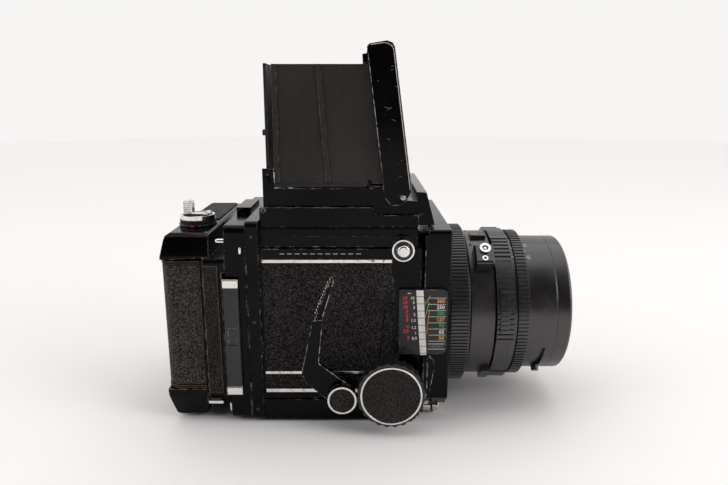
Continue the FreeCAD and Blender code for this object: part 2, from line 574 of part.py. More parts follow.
barrel = lens_turned([
    (-51.8, 30.5), (-51.8, 37.9), (-55.4, 37.9), (-55.4, SPIGOT_R), (-67.9, SPIGOT_R),
    (-67.9, BARREL_R - 0.8),
    (-68.7, BARREL_R), (-81.9, BARREL_R), (-82.5, BARREL_R - 0.6), (-82.5, SPIGOT_R), (-102.0, SPIGOT_R),
    (-102.0, 30.5),
])
ridge = tube("Y", 0, -94.8, AXIS_Z, 43.4, SPIGOT_R - 0.5, 1.8)
barrel = barrel.fuse(ridge)


def radial_block(angle, r0, r1, half_w, y0, y1):
    """Block standing on the barrel at an angle from the top, turned about the lens axis."""
    b = box(-half_w, half_w, y0, y1, AXIS_Z + r0, AXIS_Z + r1)
    return turn(b, (0, 0, AXIS_Z), (0, 1, 0), angle)


sync = radial_block(-40, 40.5, 51.0, 6.8, -82.2, -70.8)
sync = soften(sync, 1.6, lambda e: e.Length > 8)
clamp = radial_block(-141, 40.5, 47.2, 7.0, -82.3, -77.2)
clip = radial_block(-12, 40.5, 46.4, 3.0, -80.6, -71.4)
barrel = fuse([barrel, sync, clamp, clip])
keep("lens_barrel", barrel)
socket = [
    tube("Z", 2.9, -77.0, AXIS_Z + 51.0, 3.2, 1.7, 1.3),
    cyl("Z", 2.9, -77.0, AXIS_Z + 51.0, 0.8, 0.9),
    tube("Z", -3.7, -76.4, AXIS_Z + 51.0, 1.7, 0.9, 0.5),
]
keep("sync_socket", [turn(s, (0, 0, AXIS_Z), (0, 1, 0), -40) for s in socket])

shut = toothed("Y", 0, -92.6, AXIS_Z, SHUTTER_RING_R, SHUTTER_RING_R - 0.9, 9.8, 96, 0, 0.44, 0.74)
smooth = []
for k in range(6):
    seg = tube("Y", 0, -93, AXIS_Z, SHUTTER_RING_R + 1, SHUTTER_RING_R - 0.8, 11)
    corners = [round_lens(60, k * 60 + side) for side in (-17, 17)]
    wedge = prism_y([(0, AXIS_Z)] + corners, -94, -82)
    smooth.append(seg.common(wedge))
shut = shut.cut(smooth)
# raised grip on the side that the user's left hand finds
grip_ring = toothed("Y", 0, -89.2, AXIS_Z, SHUTTER_RING_R + 1.5, SHUTTER_RING_R + 0.8,
                    4.6, 110, 0, 0.44, 0.74)
grip_ends = [round_lens(60, a) for a in (-95, -80, -65)]
shut = shut.fuse(grip_ring.common(prism_y([(0, AXIS_Z)] + grip_ends, -94, -82)))
shut = shut.cut(cyl("Y", 0, -95, AXIS_Z, RING_BORE_R, 20))
shut = shut.common(box(-60, 60, -92.6, -82.8, -10, 120))
keep("shutter_ring", shut)

aper = toothed("Y", 0, -101.2, AXIS_Z, APERTURE_RING_R, APERTURE_RING_R - 0.7, 6.1, 120, 0, 0.42, 0.72)
aper = aper.cut(cyl("Y", 0, -105, AXIS_Z, RING_BORE_R, 20))
keep("aperture_ring", aper)

front = lens_turned([
    (-101.6, 36.0), (-101.6, FRONT_R), (-117.8, FRONT_R), (-118.1, FRONT_R - 0.4), (-118.4, FRONT_R),
    (-125.4, FRONT_R), (-126.7, FRONT_R - 1.3), (-126.7, FILTER_THREAD_R), (-121.0, FILTER_THREAD_R),
    (-121.0, 36.0),
])
front = front.cut(cyl("Y", 0, -102.1, AXIS_Z, SPIGOT_R, 2))
# curved slot for the depth-of-field lever, low on the right
slot = tube("Y", 0, -113.0, AXIS_Z, FRONT_R + 1, FRONT_R - 2.2, 3.4)
SLOT_A0, SLOT_A1 = 208.0, 246.0
fan = [(0, AXIS_Z)]
for k in range(7):
    t = math.radians(SLOT_A0 + (SLOT_A1 - SLOT_A0) * k / 6)
    fan.append((60 * math.sin(t), AXIS_Z + 60 * math.cos(t)))
front = front.cut(slot.common(prism_y(fan, -120, -105)))
keep("front_barrel", front)
dof_a = math.radians(216.0)
dx, dz = math.sin(dof_a), math.cos(dof_a)
lever = Part.makeCylinder(1.3, 4.4, V(dx * 39.2, -111.3, AXIS_Z + dz * 39.2), V(dx, 0, dz))
lever = lever.fuse(Part.makeCylinder(2.2, 2.6, V(dx * 41.6, -111.3, AXIS_Z + dz * 41.6), V(dx, 0, dz)))
keep("dof_lever", lever)

cell = lens_turned([(-118.0, 29.0), (-118.0, 36.0), (-104.0, 36.0), (-104.0, 30.5),
                    (-96.0, 30.5), (-96.0, 27.0),
                    (-104.0, 27.0), (-106.0, 29.0)])
rear_cell = lens_turned([(-62.0, 24.0), (-62.0, 30.5), (-50.0, 30.5), (-48.0, 26.0), (-48.0, 24.0)])
keep("lens_cells", [cell, rear_cell])


def dome(y_flat, r, rise, thick, sign):
    """Lens element with one curved face, flat side at y_flat, bulging along sign * Y."""
    big = (r * r + rise * rise) / (2 * rise)
    ball = Part.makeSphere(big, V(0, y_flat + sign * (thick + rise) - sign * big, AXIS_Z))
    rod = cyl("Y", 0, y_flat, AXIS_Z, r, sign * (thick + rise + 0.01))
    return rod.common(ball)


elements = [
    dome(-107.5, 28.95, 5.0, 2.0, -1),
    dome(-97.0, 26.9, 3.0, 2.0, -1),
    dome(-56.0, 23.9, 4.0, 2.0, 1),
]
keep("lens_elements", elements)
blades = []
for k in range(6):
    blade = tube("Y", 0, -80.0 - 0.55 * k, AXIS_Z, 29.6, 12.0, 0.4)
    corners = [round_lens(70, k * 60), round_lens(90, k * 60 + 42), round_lens(70, k * 60 + 84)]
    wedge = prism_y([(0, AXIS_Z)] + corners, -90, -70)
    blades.append(blade.common(wedge))
carrier = tube("Y", 0, -84.4, AXIS_Z, 30.5, 29.6, 6.0)
keep("aperture_blades", [fuse([carrier] + blades)])

# ---------------------------------------------------------------- revolving adapter
adapter = rounded_y(-51.8, 51.8, 1.4, 113.6, 4.0, 55.9, 67.0)
adapter = adapter.cut(box(-36.5, 36.5, 50, 70, AXIS_Z - 29.5, AXIS_Z + 29.5))
spigot = tube("Y", 0, 50.8, AXIS_Z, BACK_PIVOT_R, 44.6, 5.4)
adapter = adapter.fuse([spigot, box(-15.0, 15.0, 58.5, 66.8, 113.0, 117.4)])
adapter = adapter.cut(both(box(-53, -49.0, 62.0, 66.6, 18.0, 86.0)))
keep("adapter_plate", adapter)


def lock_bar():
    bar = box(-54.6, -52.2, 60.0, 68.4, 22.2, 80.3)
    bar = soften(bar, 0.8, lambda e: e.Length > 50 and e.BoundBox.XMax < -54.5)
    bar = bar.cut(box(-57, -54.1, 62.0, 66.4, 47.0, 57.0))
    ends = [soften(box(-55.1, -52.2, 59.8, 68.6, z, z + 5.0), 0.9, lambda e: e.BoundBox.XMax < -55.0)
            for z in (17.6, 80.0)]
    tongue = box(-52.4, -49.3, 62.3, 66.3, 25.0, 79.0)
    return fuse([bar] + ends + [tongue])


keep("lock_bar_right", lock_bar())
keep("lock_bar_left", mirror_x(lock_bar()))

# ---------------------------------------------------------------- film back: fixed frame
frame = rounded_y(-52.8, 52.8, 14.4, 96.2, 3.0, 67.0, 79.0)
frame = frame.cut(box(-35.0, 35.0, 60, 80, AXIS_Z - 28.0, AXIS_Z + 28.0))
frame = frame.cut(box(-49.5, 49.5, 72.6, 80, 20.0, 91.6))
frame = frame.cut(box(-47.0, 55.0, 69.4, 70.9, AXIS_Z - 31.0, AXIS_Z + 31.0))
frame = frame.cut(both(box(-54, -48.0, 66, 68.9, 12.0, 88.0)))


def cap_outline(z_low, z_high, flip):
    if not flip:
        return [(75.6, z_low + 1.2), (75.6, z_high - 1.0), (76.6, z_high), (96.8, z_high),
                (98.8, z_high - 1.2), (99.8, z_high - 3.4), (102.0, z_low + 1.6), (102.0, z_low)]
    return [(79.6, z_high), (102.6, z_high), (102.4, z_high - 3.0), (99.8, z_low + 1.0), (98.0, z_low),
            (83.2, z_low), (82.2, z_low + 1.0)]


top_cap = prism_x(cap_outline(95.0, CAP_TOP, False), -51.4, 51.4)
top_cap = top_cap.fuse(box(-51.2, 51.2, 75.6, 79.2, 94.0, 97.0))
side_xz = [(-60, 97.0), (-51.5, 97.0), (-49.6, 107.4), (-47.2, CAP_TOP), (-47.2, 112), (-60, 112)]
side_cut = prism_y(side_xz, 70, 110)
top_cap = top_cap.cut(both(side_cut))
bottom_cap = prism_x(cap_outline(2.0, 19.6, True), -51.4, 51.4)
bottom_cap = bottom_cap.fuse(box(-50.0, 50.0, 76.0, 82.0, 12.0, 19.6))
side_cut = prism_y([(-60, 15.0), (-51.5, 15.0), (-46.4, 1.9), (-46.4, -4), (-60, -4)], 70, 110)
bottom_cap = bottom_cap.cut(both(side_cut))
# the top cap is hollow for the winding gears
gear_room = box(-46.0, -14.0, 79.4, 98.0, 97.6, 102.6)
top_cap = top_cap.cut([gear_room, cyl("Z", WIND_X, WIND_Y, 90.0, 3.05, 20),
                       cyl("Z", SPOOL_X, SPOOL_Y, 90.0, 3.05, 8)])
caps = [top_cap, bottom_cap.cut(cyl("Z", SPOOL_X, SPOOL_Y, 17.0, 2.05, 5))]
# spacer walls join caps and frame behind the gate
ties = [box(-30.0, 51.0, 76.0, 79.2, 91.6, 95.4), box(-30.0, 51.0, 76.0, 79.2, 15.0, 20.0)]
eyes = []
for z in (29.0, 47.0, 62.0, 81.0):
    eye = cyl("Z", DOOR_PIN_X, DOOR_PIN_Y, z, 1.9, 4.4)
    eyes.append(eye.fuse(box(51.7, DOOR_PIN_X + 1.9, 77.0, DOOR_PIN_Y, z, z + 4.4)))
back = fuse([frame] + caps + ties + eyes)
back = back.cut([cyl("Z", DOOR_PIN_X, DOOR_PIN_Y, z, 2.4, 12.6) for z in (33.7, 67.7)])
back = back.cut(cyl("Z", DOOR_PIN_X, DOOR_PIN_Y, 25, 1.0, 65))
keep("film_back_frame", back)
leather_r = box(-53.6, -52.8, 69.6, 78.7, 18.4, 92.2)
leather_top = soften(box(-11.0, 46.0, 78.4, 95.6, CAP_TOP, CAP_TOP + 0.7), 2.0, lambda e: e.Length < 1)
leather_sides = both(leather_r.cut(box(-60, 60, 69.3, 71.0, 10, 100)))
keep("frame_leather", [s.cut(back) for s in leather_sides] + [leather_top])

# ---------------------------------------------------------------- rear door with its leather
DOOR_Z0, DOOR_Z1 = 20.4, 94.6


def door_outline(inset):
    x, y, r = 52.0 - inset, 102.6 - inset, 7.5 - inset
    pts = [(-x, 79.6)]
    for k in range(9):
        t = math.radians(180 - k * 90 / 8)
        pts.append((-x + r + r * math.cos(t), y - r + r * math.sin(t)))
    return pts


def door_wire(inset):
    right = door_outline(inset)
    left = [(-px, py) for px, py in reversed(right)]
    return right + left


outer = prism_z(door_wire(0.9), DOOR_Z0, DOOR_Z1)
inner = prism_z([(px, py - 0.01) for px, py in door_wire(2.4)], DOOR_Z0 + 1.4, DOOR_Z1 - 1.4)
opening = box(-49.4, 49.4, 70, 80.4, DOOR_Z0 + 1.4, DOOR_Z1 - 1.4)
door = outer.cut([inner, opening])
door = door.cut([cyl("Z", SPOOL_X, SPOOL_Y, z, 12.0, 3) for z in (DOOR_Z0 - 1, DOOR_Z1 - 2)])
ears = [cyl("Z", DOOR_PIN_X, DOOR_PIN_Y, z, 1.9, 12.0) for z in (34.0, 68.0)]
links = [box(50.2, DOOR_PIN_X, DOOR_PIN_Y - 0.6, DOOR_PIN_Y + 1.9, z, z + 12.0) for z in (34.0, 68.0)]
door = fuse([door] + links + ears)
door = door.cut(cyl("Z", DOOR_PIN_X, DOOR_PIN_Y, 20, 1.06, 80))
keep("rear_door", door)
leather_out = prism_z(door_wire(0.0), 22.8, 92.2).cut(prism_z(door_wire(0.9), 22.0, 93.0))
leather_out = leather_out.cut(box(-60, 60, 70, 80.6, 20, 100))
leather_out = leather_out.cut(box(49, 60, 70, 84.2, 20, 100))
keep("door_leather", leather_out)
beads = []
for z0, z1 in ((20.6, 22.4), (92.6, 94.4)):
    b = prism_z(door_wire(-0.3), z0, z1).cut(prism_z(door_wire(0.9), z0 - 1, z1 + 1))
    b = b.cut([box(-60, 60, 70, 80.6, 10, 100), box(49, 60, 70, 84.2, 10, 100)])
    beads.append(b)
keep("door_beads", beads)
# pressure plate just behind the film gate, with a tab at top and bottom
platen = box(-36.0, 36.0, 73.8, 75.0, AXIS_Z - 30, AXIS_Z + 30)
tabs = [box(-9.0, 9.0, 73.8, 75.0, 20.0, AXIS_Z - 29.9), box(-9.0, 9.0, 73.8, 75.0, AXIS_Z + 29.9, 91.6)]
keep("pressure_plate", fuse([platen] + tabs))
keep("door_pin", cyl("Z", DOOR_PIN_X, DOOR_PIN_Y, 29.0, 1.0, 56.4))

# ---------------------------------------------------------------- dark slide
blade = box(-46.0, 54.2, 69.85, 70.45, AXIS_Z - 30.4, AXIS_Z + 30.4)
grip = rounded_y(54.0, 58.4, AXIS_Z - 31.5, AXIS_Z + 31.5, 1.2, 68.9, 71.4)
keep("dark_slide", fuse([blade, grip]))

# ---------------------------------------------------------------- winding: knob, gears, take-up spool
wind = cyl("Z", WIND_X, WIND_Y, CAP_TOP + 0.3, 10.5, 1.3)
wind = soften(wind, 0.4, lambda e: e.BoundBox.ZMin > CAP_TOP + 1.5)
wind = wind.fuse([cyl("Z", WIND_X, WIND_Y, 98.2, 3.0, 12.0), cyl("Z", WIND_X, WIND_Y, 110.0, 9.2, 3.0)])
wind = wind.fuse(toothed("Z", WIND_X, WIND_Y, 111.2, 10.0, 9.7, 0.9, 72, 0, 0.4, 0.7))
wind = wind.fuse(cyl("Z", WIND_X, WIND_Y, 112.4, 9.9, 0.6))
WIND_TEETH = 12
gap_xy = math.hypot(SPOOL_X - WIND_X, SPOOL_Y - WIND_Y)
gear_pitch = gap_xy / 2
line = math.degrees(math.atan2(SPOOL_Y - WIND_Y, SPOOL_X - WIND_X))
wheel = toothed("Z", 0, 0, 98.2, gear_pitch + 0.62, gear_pitch - 0.95, 3.6, WIND_TEETH, 0, 0.24, 0.60)
wheel_a = turn(wheel, (0, 0, 0), (0, 0, 1), line)
wheel_a.translate(V(WIND_X, WIND_Y, 0))
wind = wind.fuse(wheel_a)
wind = wind.fuse(cyl("Z", WIND_X, WIND_Y, 112.0, 8.2, 1.6))
keep("wind_knob", wind)
ring = tube("Z", WIND_X, WIND_Y, 113.0, 9.6, 8.2, 2.4)
CRANK_Y, CRANK_Z = WIND_Y - 5.6, 115.4
ears = [box(WIND_X + s, WIND_X + s + 1.4, CRANK_Y - 1.6, CRANK_Y + 1.4, 113.6, CRANK_Z + 1.2)
        for s in (-4.9, 3.5)]
crank_pin = cyl("X", WIND_X - 4.0, CRANK_Y, CRANK_Z, 0.8, 8.0)
ears = [e.common(cyl("Z", WIND_X, WIND_Y, 110, 8.3, 10)) for e in ears]
keep("wind_ring", fuse([ring] + ears + [crank_pin]))
crank = box(WIND_X - 3.2, WIND_X + 3.2, CRANK_Y + 1.0, WIND_Y + 7.2, 114.3, 115.9)
crank = crank.fuse(cyl("X", WIND_X - 3.2, CRANK_Y, CRANK_Z, 1.5, 6.4))
crank = crank.fuse(box(WIND_X - 3.2, WIND_X + 3.2, CRANK_Y, CRANK_Y + 2.0, 114.3, 115.9))
crank = crank.fuse(box(WIND_X - 3.0, WIND_X + 3.0, WIND_Y + 2.4, WIND_Y + 7.2, 115.6, 123.4))
crank = soften(crank, 1.5, lambda e: e.BoundBox.ZMin > 123 and abs(e.tangentAt(e.FirstParameter).x) > 0.9)
for k in range(5):
    z = 116.8 + 1.2 * k
    crank = crank.cut(box(WIND_X - 3.4, WIND_X - 2.7, WIND_Y + 3.0, WIND_Y + 7.0, z, z + 0.5))
crank = crank.cut(cyl("X", WIND_X - 5, CRANK_Y, CRANK_Z, 0.86, 10))
keep("wind_crank", crank)

spool = cyl("Z", SPOOL_X, SPOOL_Y, 24.4, 5.6, 66.0)
for z in (23.6, 89.4):
    spool = spool.fuse(cyl("Z", SPOOL_X, SPOOL_Y, z, 8.4, 1.2))
spool = spool.cut(box(SPOOL_X - 6, SPOOL_X + 6, SPOOL_Y - 0.7, SPOOL_Y + 0.7, 26, 88))
spool = spool.fuse([cyl("Z", SPOOL_X, SPOOL_Y, 90.0, 3.0, 8.4), cyl("Z", SPOOL_X, SPOOL_Y, 17.6, 2.0, 6.4)])
wheel_b = turn(wheel, (0, 0, 0), (0, 0, 1), line + 180 + 180.0 / WIND_TEETH)
wheel_b.translate(V(SPOOL_X, SPOOL_Y, 0))
spool = spool.fuse(wheel_b)
keep("takeup_spool", spool)

# ---------------------------------------------------------------- screws, one node
screws = [
    screw_head("X", -54.2, -29.2, 76.2, 1.1, 0.5, -1),
    screw_head("X", -54.2, -31.2, 44.8, 1.1, 0.5, -1),
]
pins += screws
keep("hinge_pins", pins)

for name, shape in NODES.items():
    shape.exportStep("parts/" + name + ".step")
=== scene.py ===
import math
import random

import bmesh
import bpy
from mathutils import Matrix, Vector


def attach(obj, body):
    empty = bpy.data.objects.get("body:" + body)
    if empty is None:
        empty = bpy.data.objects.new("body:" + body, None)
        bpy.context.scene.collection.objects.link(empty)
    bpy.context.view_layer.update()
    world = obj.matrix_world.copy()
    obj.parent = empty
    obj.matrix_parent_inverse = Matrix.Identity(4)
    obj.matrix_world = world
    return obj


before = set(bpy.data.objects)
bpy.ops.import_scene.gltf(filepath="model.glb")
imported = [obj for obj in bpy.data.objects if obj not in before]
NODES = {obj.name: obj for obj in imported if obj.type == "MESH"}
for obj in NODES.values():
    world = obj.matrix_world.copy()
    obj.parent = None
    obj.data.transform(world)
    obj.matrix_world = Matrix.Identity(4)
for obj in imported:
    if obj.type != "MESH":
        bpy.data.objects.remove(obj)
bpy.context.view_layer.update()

# Metres; the origin is the mouth of the tripod socket, +Z is up, the lens looks along -Y, and the photo
# shows the -X side.
MM = 0.001
LENS_AXIS = Vector((0.0, 0.0, 0.0552))
RNG = random.Random(67)                      # turns the screw slots
SIDES = ((-1, "r"), (1, "l"))                # sign of x and letter of the camera's right and left side

CAMERA_PLACE = (-0.375, -0.008, 0.1805)
CAMERA_TURN = (76.82, 0.0, -90.0)            # degrees
FOCAL_LENGTH = 30.76                         # mm, on a sensor 36 mm wide
WORLD_STRENGTH = 0.925
FLOOR_RADIUS = 2.6
FLOOR_SIDES = 96
FLOOR_DROP = 0.0003                          # keeps the paper just under the lowest faces
PAPER = (0.955, 0.932, 0.925, 1)

# places on the CAD, in mm, just proud of the surface that carries the mark
FIXED_SCALE_X, MOVING_SCALE_X = -54.22, -54.02
STOP_RADIUS, STOP_TICK_RADIUS = 41.06, 41.04
SPEED_RADIUS, INDEX_RADIUS, CLIP_RADIUS, SCREW_RADIUS = 44.36, 43.46, 46.44, 44.3
WIND_KNOB_X, WIND_KNOB_Y, WIND_KNOB_RIM = -25, 87, 10.52
LID_FOOT_Y, LID_FOOT_Z = -34.6, 124.4
LID_LEAN = math.radians(7.6)


# ------------------------------------------------------------------ camera, lights, floor
def add_camera():
    data = bpy.data.cameras.new("camera")
    data.sensor_width = 36.0
    data.lens = FOCAL_LENGTH
    data.clip_start = 0.01
    data.clip_end = 50.0
    cam = bpy.data.objects.new("camera", data)
    bpy.context.scene.collection.objects.link(cam)
    cam.location = CAMERA_PLACE
    cam.rotation_euler = [math.radians(angle) for angle in CAMERA_TURN]
    bpy.context.scene.camera = cam


def area_light(name, place, target, size, power):
    data = bpy.data.lights.new(name, "AREA")
    data.shape = "RECTANGLE"
    data.size, data.size_y = size
    data.energy = power
    light = bpy.data.objects.new(name, data)
    bpy.context.scene.collection.objects.link(light)
    light.location = place
    aim = Vector(target) - Vector(place)
    light.rotation_euler = aim.to_track_quat("-Z", "Y").to_euler()


def soft_sun(name, toward, strength, spread):
    """Broad even light from one side; the same strength over the whole floor."""
    data = bpy.data.lights.new(name, "SUN")
    data.energy = strength
    data.angle = math.radians(spread)
    light = bpy.data.objects.new(name, data)
    bpy.context.scene.collection.objects.link(light)
    light.rotation_euler = Vector(toward).to_track_quat("Z", "Y").to_euler()


def add_world():
    """White studio all round, dark towards -X and dimmer overhead."""
    world = bpy.data.worlds.new("studio")
    bpy.context.scene.world = world
    world.use_nodes = True
    tree = world.node_tree
    back = tree.nodes["Background"]
    back.inputs["Color"].default_value = (1.0, 0.985, 0.978, 1.0)
    way = tree.nodes.new("ShaderNodeTexCoord").outputs["Generated"]

    def toward(direction, low, high, deepest):
        """1, falling to deepest as the dot product with a direction goes from low to high."""
        dot = tree.nodes.new("ShaderNodeVectorMath")
        dot.operation = "DOT_PRODUCT"
        tree.links.new(way, dot.inputs[0])
        dot.inputs[1].default_value = direction
        n = tree.nodes.new("ShaderNodeMapRange")
        n.interpolation_type = "SMOOTHSTEP"
        tree.links.new(dot.outputs["Value"], n.inputs["Value"])
        n.inputs["From Min"].default_value = low
        n.inputs["From Max"].default_value = high
        n.inputs["To Min"].default_value = 1.0
        n.inputs["To Max"].default_value = deepest
        return n.outputs["Result"]

    product = tree.nodes.new("ShaderNodeMath")
    product.operation = "MULTIPLY"
    dark_side = toward((-1.0, 0.0, 0.0), low=0.12, high=0.70, deepest=0.03)
    ceiling = toward((-0.1, 0.0, 0.995), low=0.62, high=0.93, deepest=0.35)
    tree.links.new(dark_side, product.inputs[0])
    tree.links.new(ceiling, product.inputs[1])
    scaled = tree.nodes.new("ShaderNodeMath")
    scaled.operation = "MULTIPLY"
    tree.links.new(product.outputs[0], scaled.inputs[0])
    scaled.inputs[1].default_value = WORLD_STRENGTH
    tree.links.new(scaled.outputs[0], back.inputs["Strength"])


def add_studio():
    scene = bpy.context.scene
    scene.view_settings.view_transform = "Standard"
    add_world()
    soft_sun("left_sky", (-0.15, 0.75, 0.64), 0.37, 50.0)
    soft_sun("right_sky", (-0.15, -0.75, 0.64), 0.34, 50.0)
    soft_sun("overhead", (0.25, 0.0, 0.97), 0.91, 60.0)
    area_light("left_strip", (-0.35, 1.0, 0.45), (-0.02, 0.07, 0.06), (0.5, 0.7), 1.4)
    area_light("right_fill", (-0.55, -1.05, 0.55), (-0.02, -0.08, 0.06), (0.6, 0.6), 4.4)
    turns = [2 * math.pi * k / FLOOR_SIDES for k in range(FLOOR_SIDES)]
    rim = [(FLOOR_RADIUS * math.cos(turn), FLOOR_RADIUS * math.sin(turn), 0.0) for turn in turns]
    mesh = bpy.data.meshes.new("floor")
    mesh.from_pydata(rim, [], [tuple(range(FLOOR_SIDES))])
    floor = bpy.data.objects.new("floor", mesh)
    scene.collection.objects.link(floor)
    floor.location.z = -FLOOR_DROP
    mat = bpy.data.materials.new("floor_paper")
    mat.use_nodes = True
    shader = mat.node_tree.nodes["Principled BSDF"]
    shader.inputs["Base Color"].default_value = PAPER
    shader.inputs["Roughness"].default_value = 0.9
    shader.inputs["Specular IOR Level"].default_value = 0.1
    mesh.materials.append(mat)


# ------------------------------------------------------------------ material building blocks
class Recipe:
    """One node material. Coordinates are the object's own, so the pattern moves with its body."""

    def __init__(self, name, rough, metal=0.0, spec=0.5, sheen=0.0):
        self.mat = bpy.data.materials.new(name)
        self.mat.use_nodes = True
        self.tree = self.mat.node_tree
        self.shader = self.tree.nodes["Principled BSDF"]
        self.shader.inputs["Roughness"].default_value = rough
        self.shader.inputs["Metallic"].default_value = metal
        self.shader.inputs["Specular IOR Level"].default_value = spec
        self.shader.inputs["Sheen Weight"].default_value = sheen
        self.place = self.node("ShaderNodeTexCoord").outputs["Object"]
        self.normal = None

    def node(self, kind, **values):
        n = self.tree.nodes.new(kind)
        for key, value in values.items():
            setattr(n, key, value)
        return n

    def feed(self, socket, value):
        if isinstance(value, bpy.types.NodeSocket):
            self.tree.links.new(value, socket)
        elif isinstance(value, (tuple, list)) and len(value) == 3 and socket.type == "RGBA":
            socket.default_value = (*value, 1.0)
        else:
            socket.default_value = value

    def maths(self, operation, a, b=0.0, clamp=False):
        n = self.node("ShaderNodeMath", operation=operation, use_clamp=clamp)
        self.feed(n.inputs[0], a)
        self.feed(n.inputs[1], b)
        return n.outputs[0]

    def stretch(self, scale):
        """The object's coordinates, scaled apart along X, Y and Z."""
        n = self.node("ShaderNodeMapping")
        self.feed(n.inputs["Vector"], self.place)
        n.inputs["Scale"].default_value = scale
        return n.outputs[0]

    def noise(self, scale, detail=3.0, rough=0.55, where=None):
        n = self.node("ShaderNodeTexNoise")
        self.feed(n.inputs["Vector"], where or self.place)
        n.inputs["Scale"].default_value = scale
        n.inputs["Detail"].default_value = detail
        n.inputs["Roughness"].default_value = rough
        return n.outputs["Fac"]

    def cells(self, scale, feature="F1", where=None, randomness=1.0):
        n = self.node("ShaderNodeTexVoronoi", feature=feature)
        self.feed(n.inputs["Vector"], where or self.place)
        n.inputs["Scale"].default_value = scale
        n.inputs["Randomness"].default_value = randomness
        return n.outputs["Distance"]

    def band(self, value, low, high, to_low=0.0, to_high=1.0):
        """Smooth step of a value from low to high."""
        n = self.node("ShaderNodeMapRange", clamp=True)
        n.interpolation_type = "SMOOTHSTEP"
        self.feed(n.inputs["Value"], value)
        n.inputs["From Min"].default_value = low
        n.inputs["From Max"].default_value = high
        n.inputs["To Min"].default_value = to_low
        n.inputs["To Max"].default_value = to_high
        return n.outputs["Result"]

    def blend(self, amount, a, b):
        n = self.node("ShaderNodeMix", data_type="RGBA")
        self.feed(n.inputs[0], amount)
        self.feed(n.inputs[6], a)
        self.feed(n.inputs[7], b)
        return n.outputs[2]

    def mix(self, amount, a, b):
        n = self.node("ShaderNodeMix", data_type="FLOAT")
        self.feed(n.inputs[0], amount)
        self.feed(n.inputs[2], a)
        self.feed(n.inputs[3], b)
        return n.outputs[0]

    def bump(self, height, distance, strength=1.0):
        n = self.node("ShaderNodeBump")
        n.inputs["Strength"].default_value = strength
        n.inputs["Distance"].default_value = distance
        self.feed(n.inputs["Height"], height)
        if self.normal is not None:
            self.feed(n.inputs["Normal"], self.normal)
        self.normal = n.outputs["Normal"]

    def edge(self, radius, low, high):
        """1 on convex and concave edges, 0 on flats, from the difference of two normals."""
        soft = self.node("ShaderNodeBevel", samples=4)
        soft.inputs["Radius"].default_value = radius
        sharp = self.node("ShaderNodeNewGeometry").outputs["Normal"]
        dot = self.node("ShaderNodeVectorMath", operation="DOT_PRODUCT")
        self.feed(dot.inputs[0], soft.outputs["Normal"])
        self.feed(dot.inputs[1], sharp)
        return self.band(self.maths("SUBTRACT", 1.0, dot.outputs["Value"]), low, high)

    def axis(self, letter):
        n = self.node("ShaderNodeSeparateXYZ")
        self.feed(n.inputs[0], self.place)
        return n.outputs[letter]

    def done(self, colour=None, rough=None, metal=None):
        if colour is not None:
            self.feed(self.shader.inputs["Base Color"], colour)
        if rough is not None:
            self.feed(self.shader.inputs["Roughness"], rough)
        if metal is not None:
            self.feed(self.shader.inputs["Metallic"], metal)
        if self.normal is not None:
            self.feed(self.shader.inputs["Normal"], self.normal)
        return self.mat


def enamel(name, base, rough, wear=0.5, worn=(0.42, 0.36, 0.32), spec=0.10):
    """Black enamel on metal: faint orange peel, smudges, dust specks and edges rubbed to bare metal."""
    r = Recipe(name, rough, spec=spec)
    cloud = r.noise(38.0, 4.0, 0.6)
    fine = r.noise(900.0, 2.0, 0.5)
    smear = r.noise(150.0, 5.0, 0.65, r.stretch((1.0, 0.35, 2.4)))
    paint = r.blend(r.band(cloud, 0.3, 0.75), base, tuple(c * 1.7 + 0.002 for c in base))
    speck = r.band(r.noise(1500.0, 1.0, 0.4), 0.77, 0.82)
    paint = r.blend(r.maths("MULTIPLY", speck, 0.35), paint, (0.30, 0.28, 0.26))
    rubbed = r.edge(0.0009, 0.02, 0.22)
    patchy = r.band(r.noise(260.0, 4.0, 0.7), 0.60 - 0.22 * wear, 0.74 - 0.12 * wear)
    bare = r.maths("MULTIPLY", rubbed, patchy, clamp=True)
    colour = r.blend(bare, paint, worn)
    shine = r.mix(r.band(smear, 0.3, 0.8), rough * 0.8, rough * 1.7)
    shine = r.mix(bare, shine, 0.36)
    r.bump(fine, 0.00002, 0.5)
    return r.done(colour, shine, r.maths("MULTIPLY", bare, 0.8))


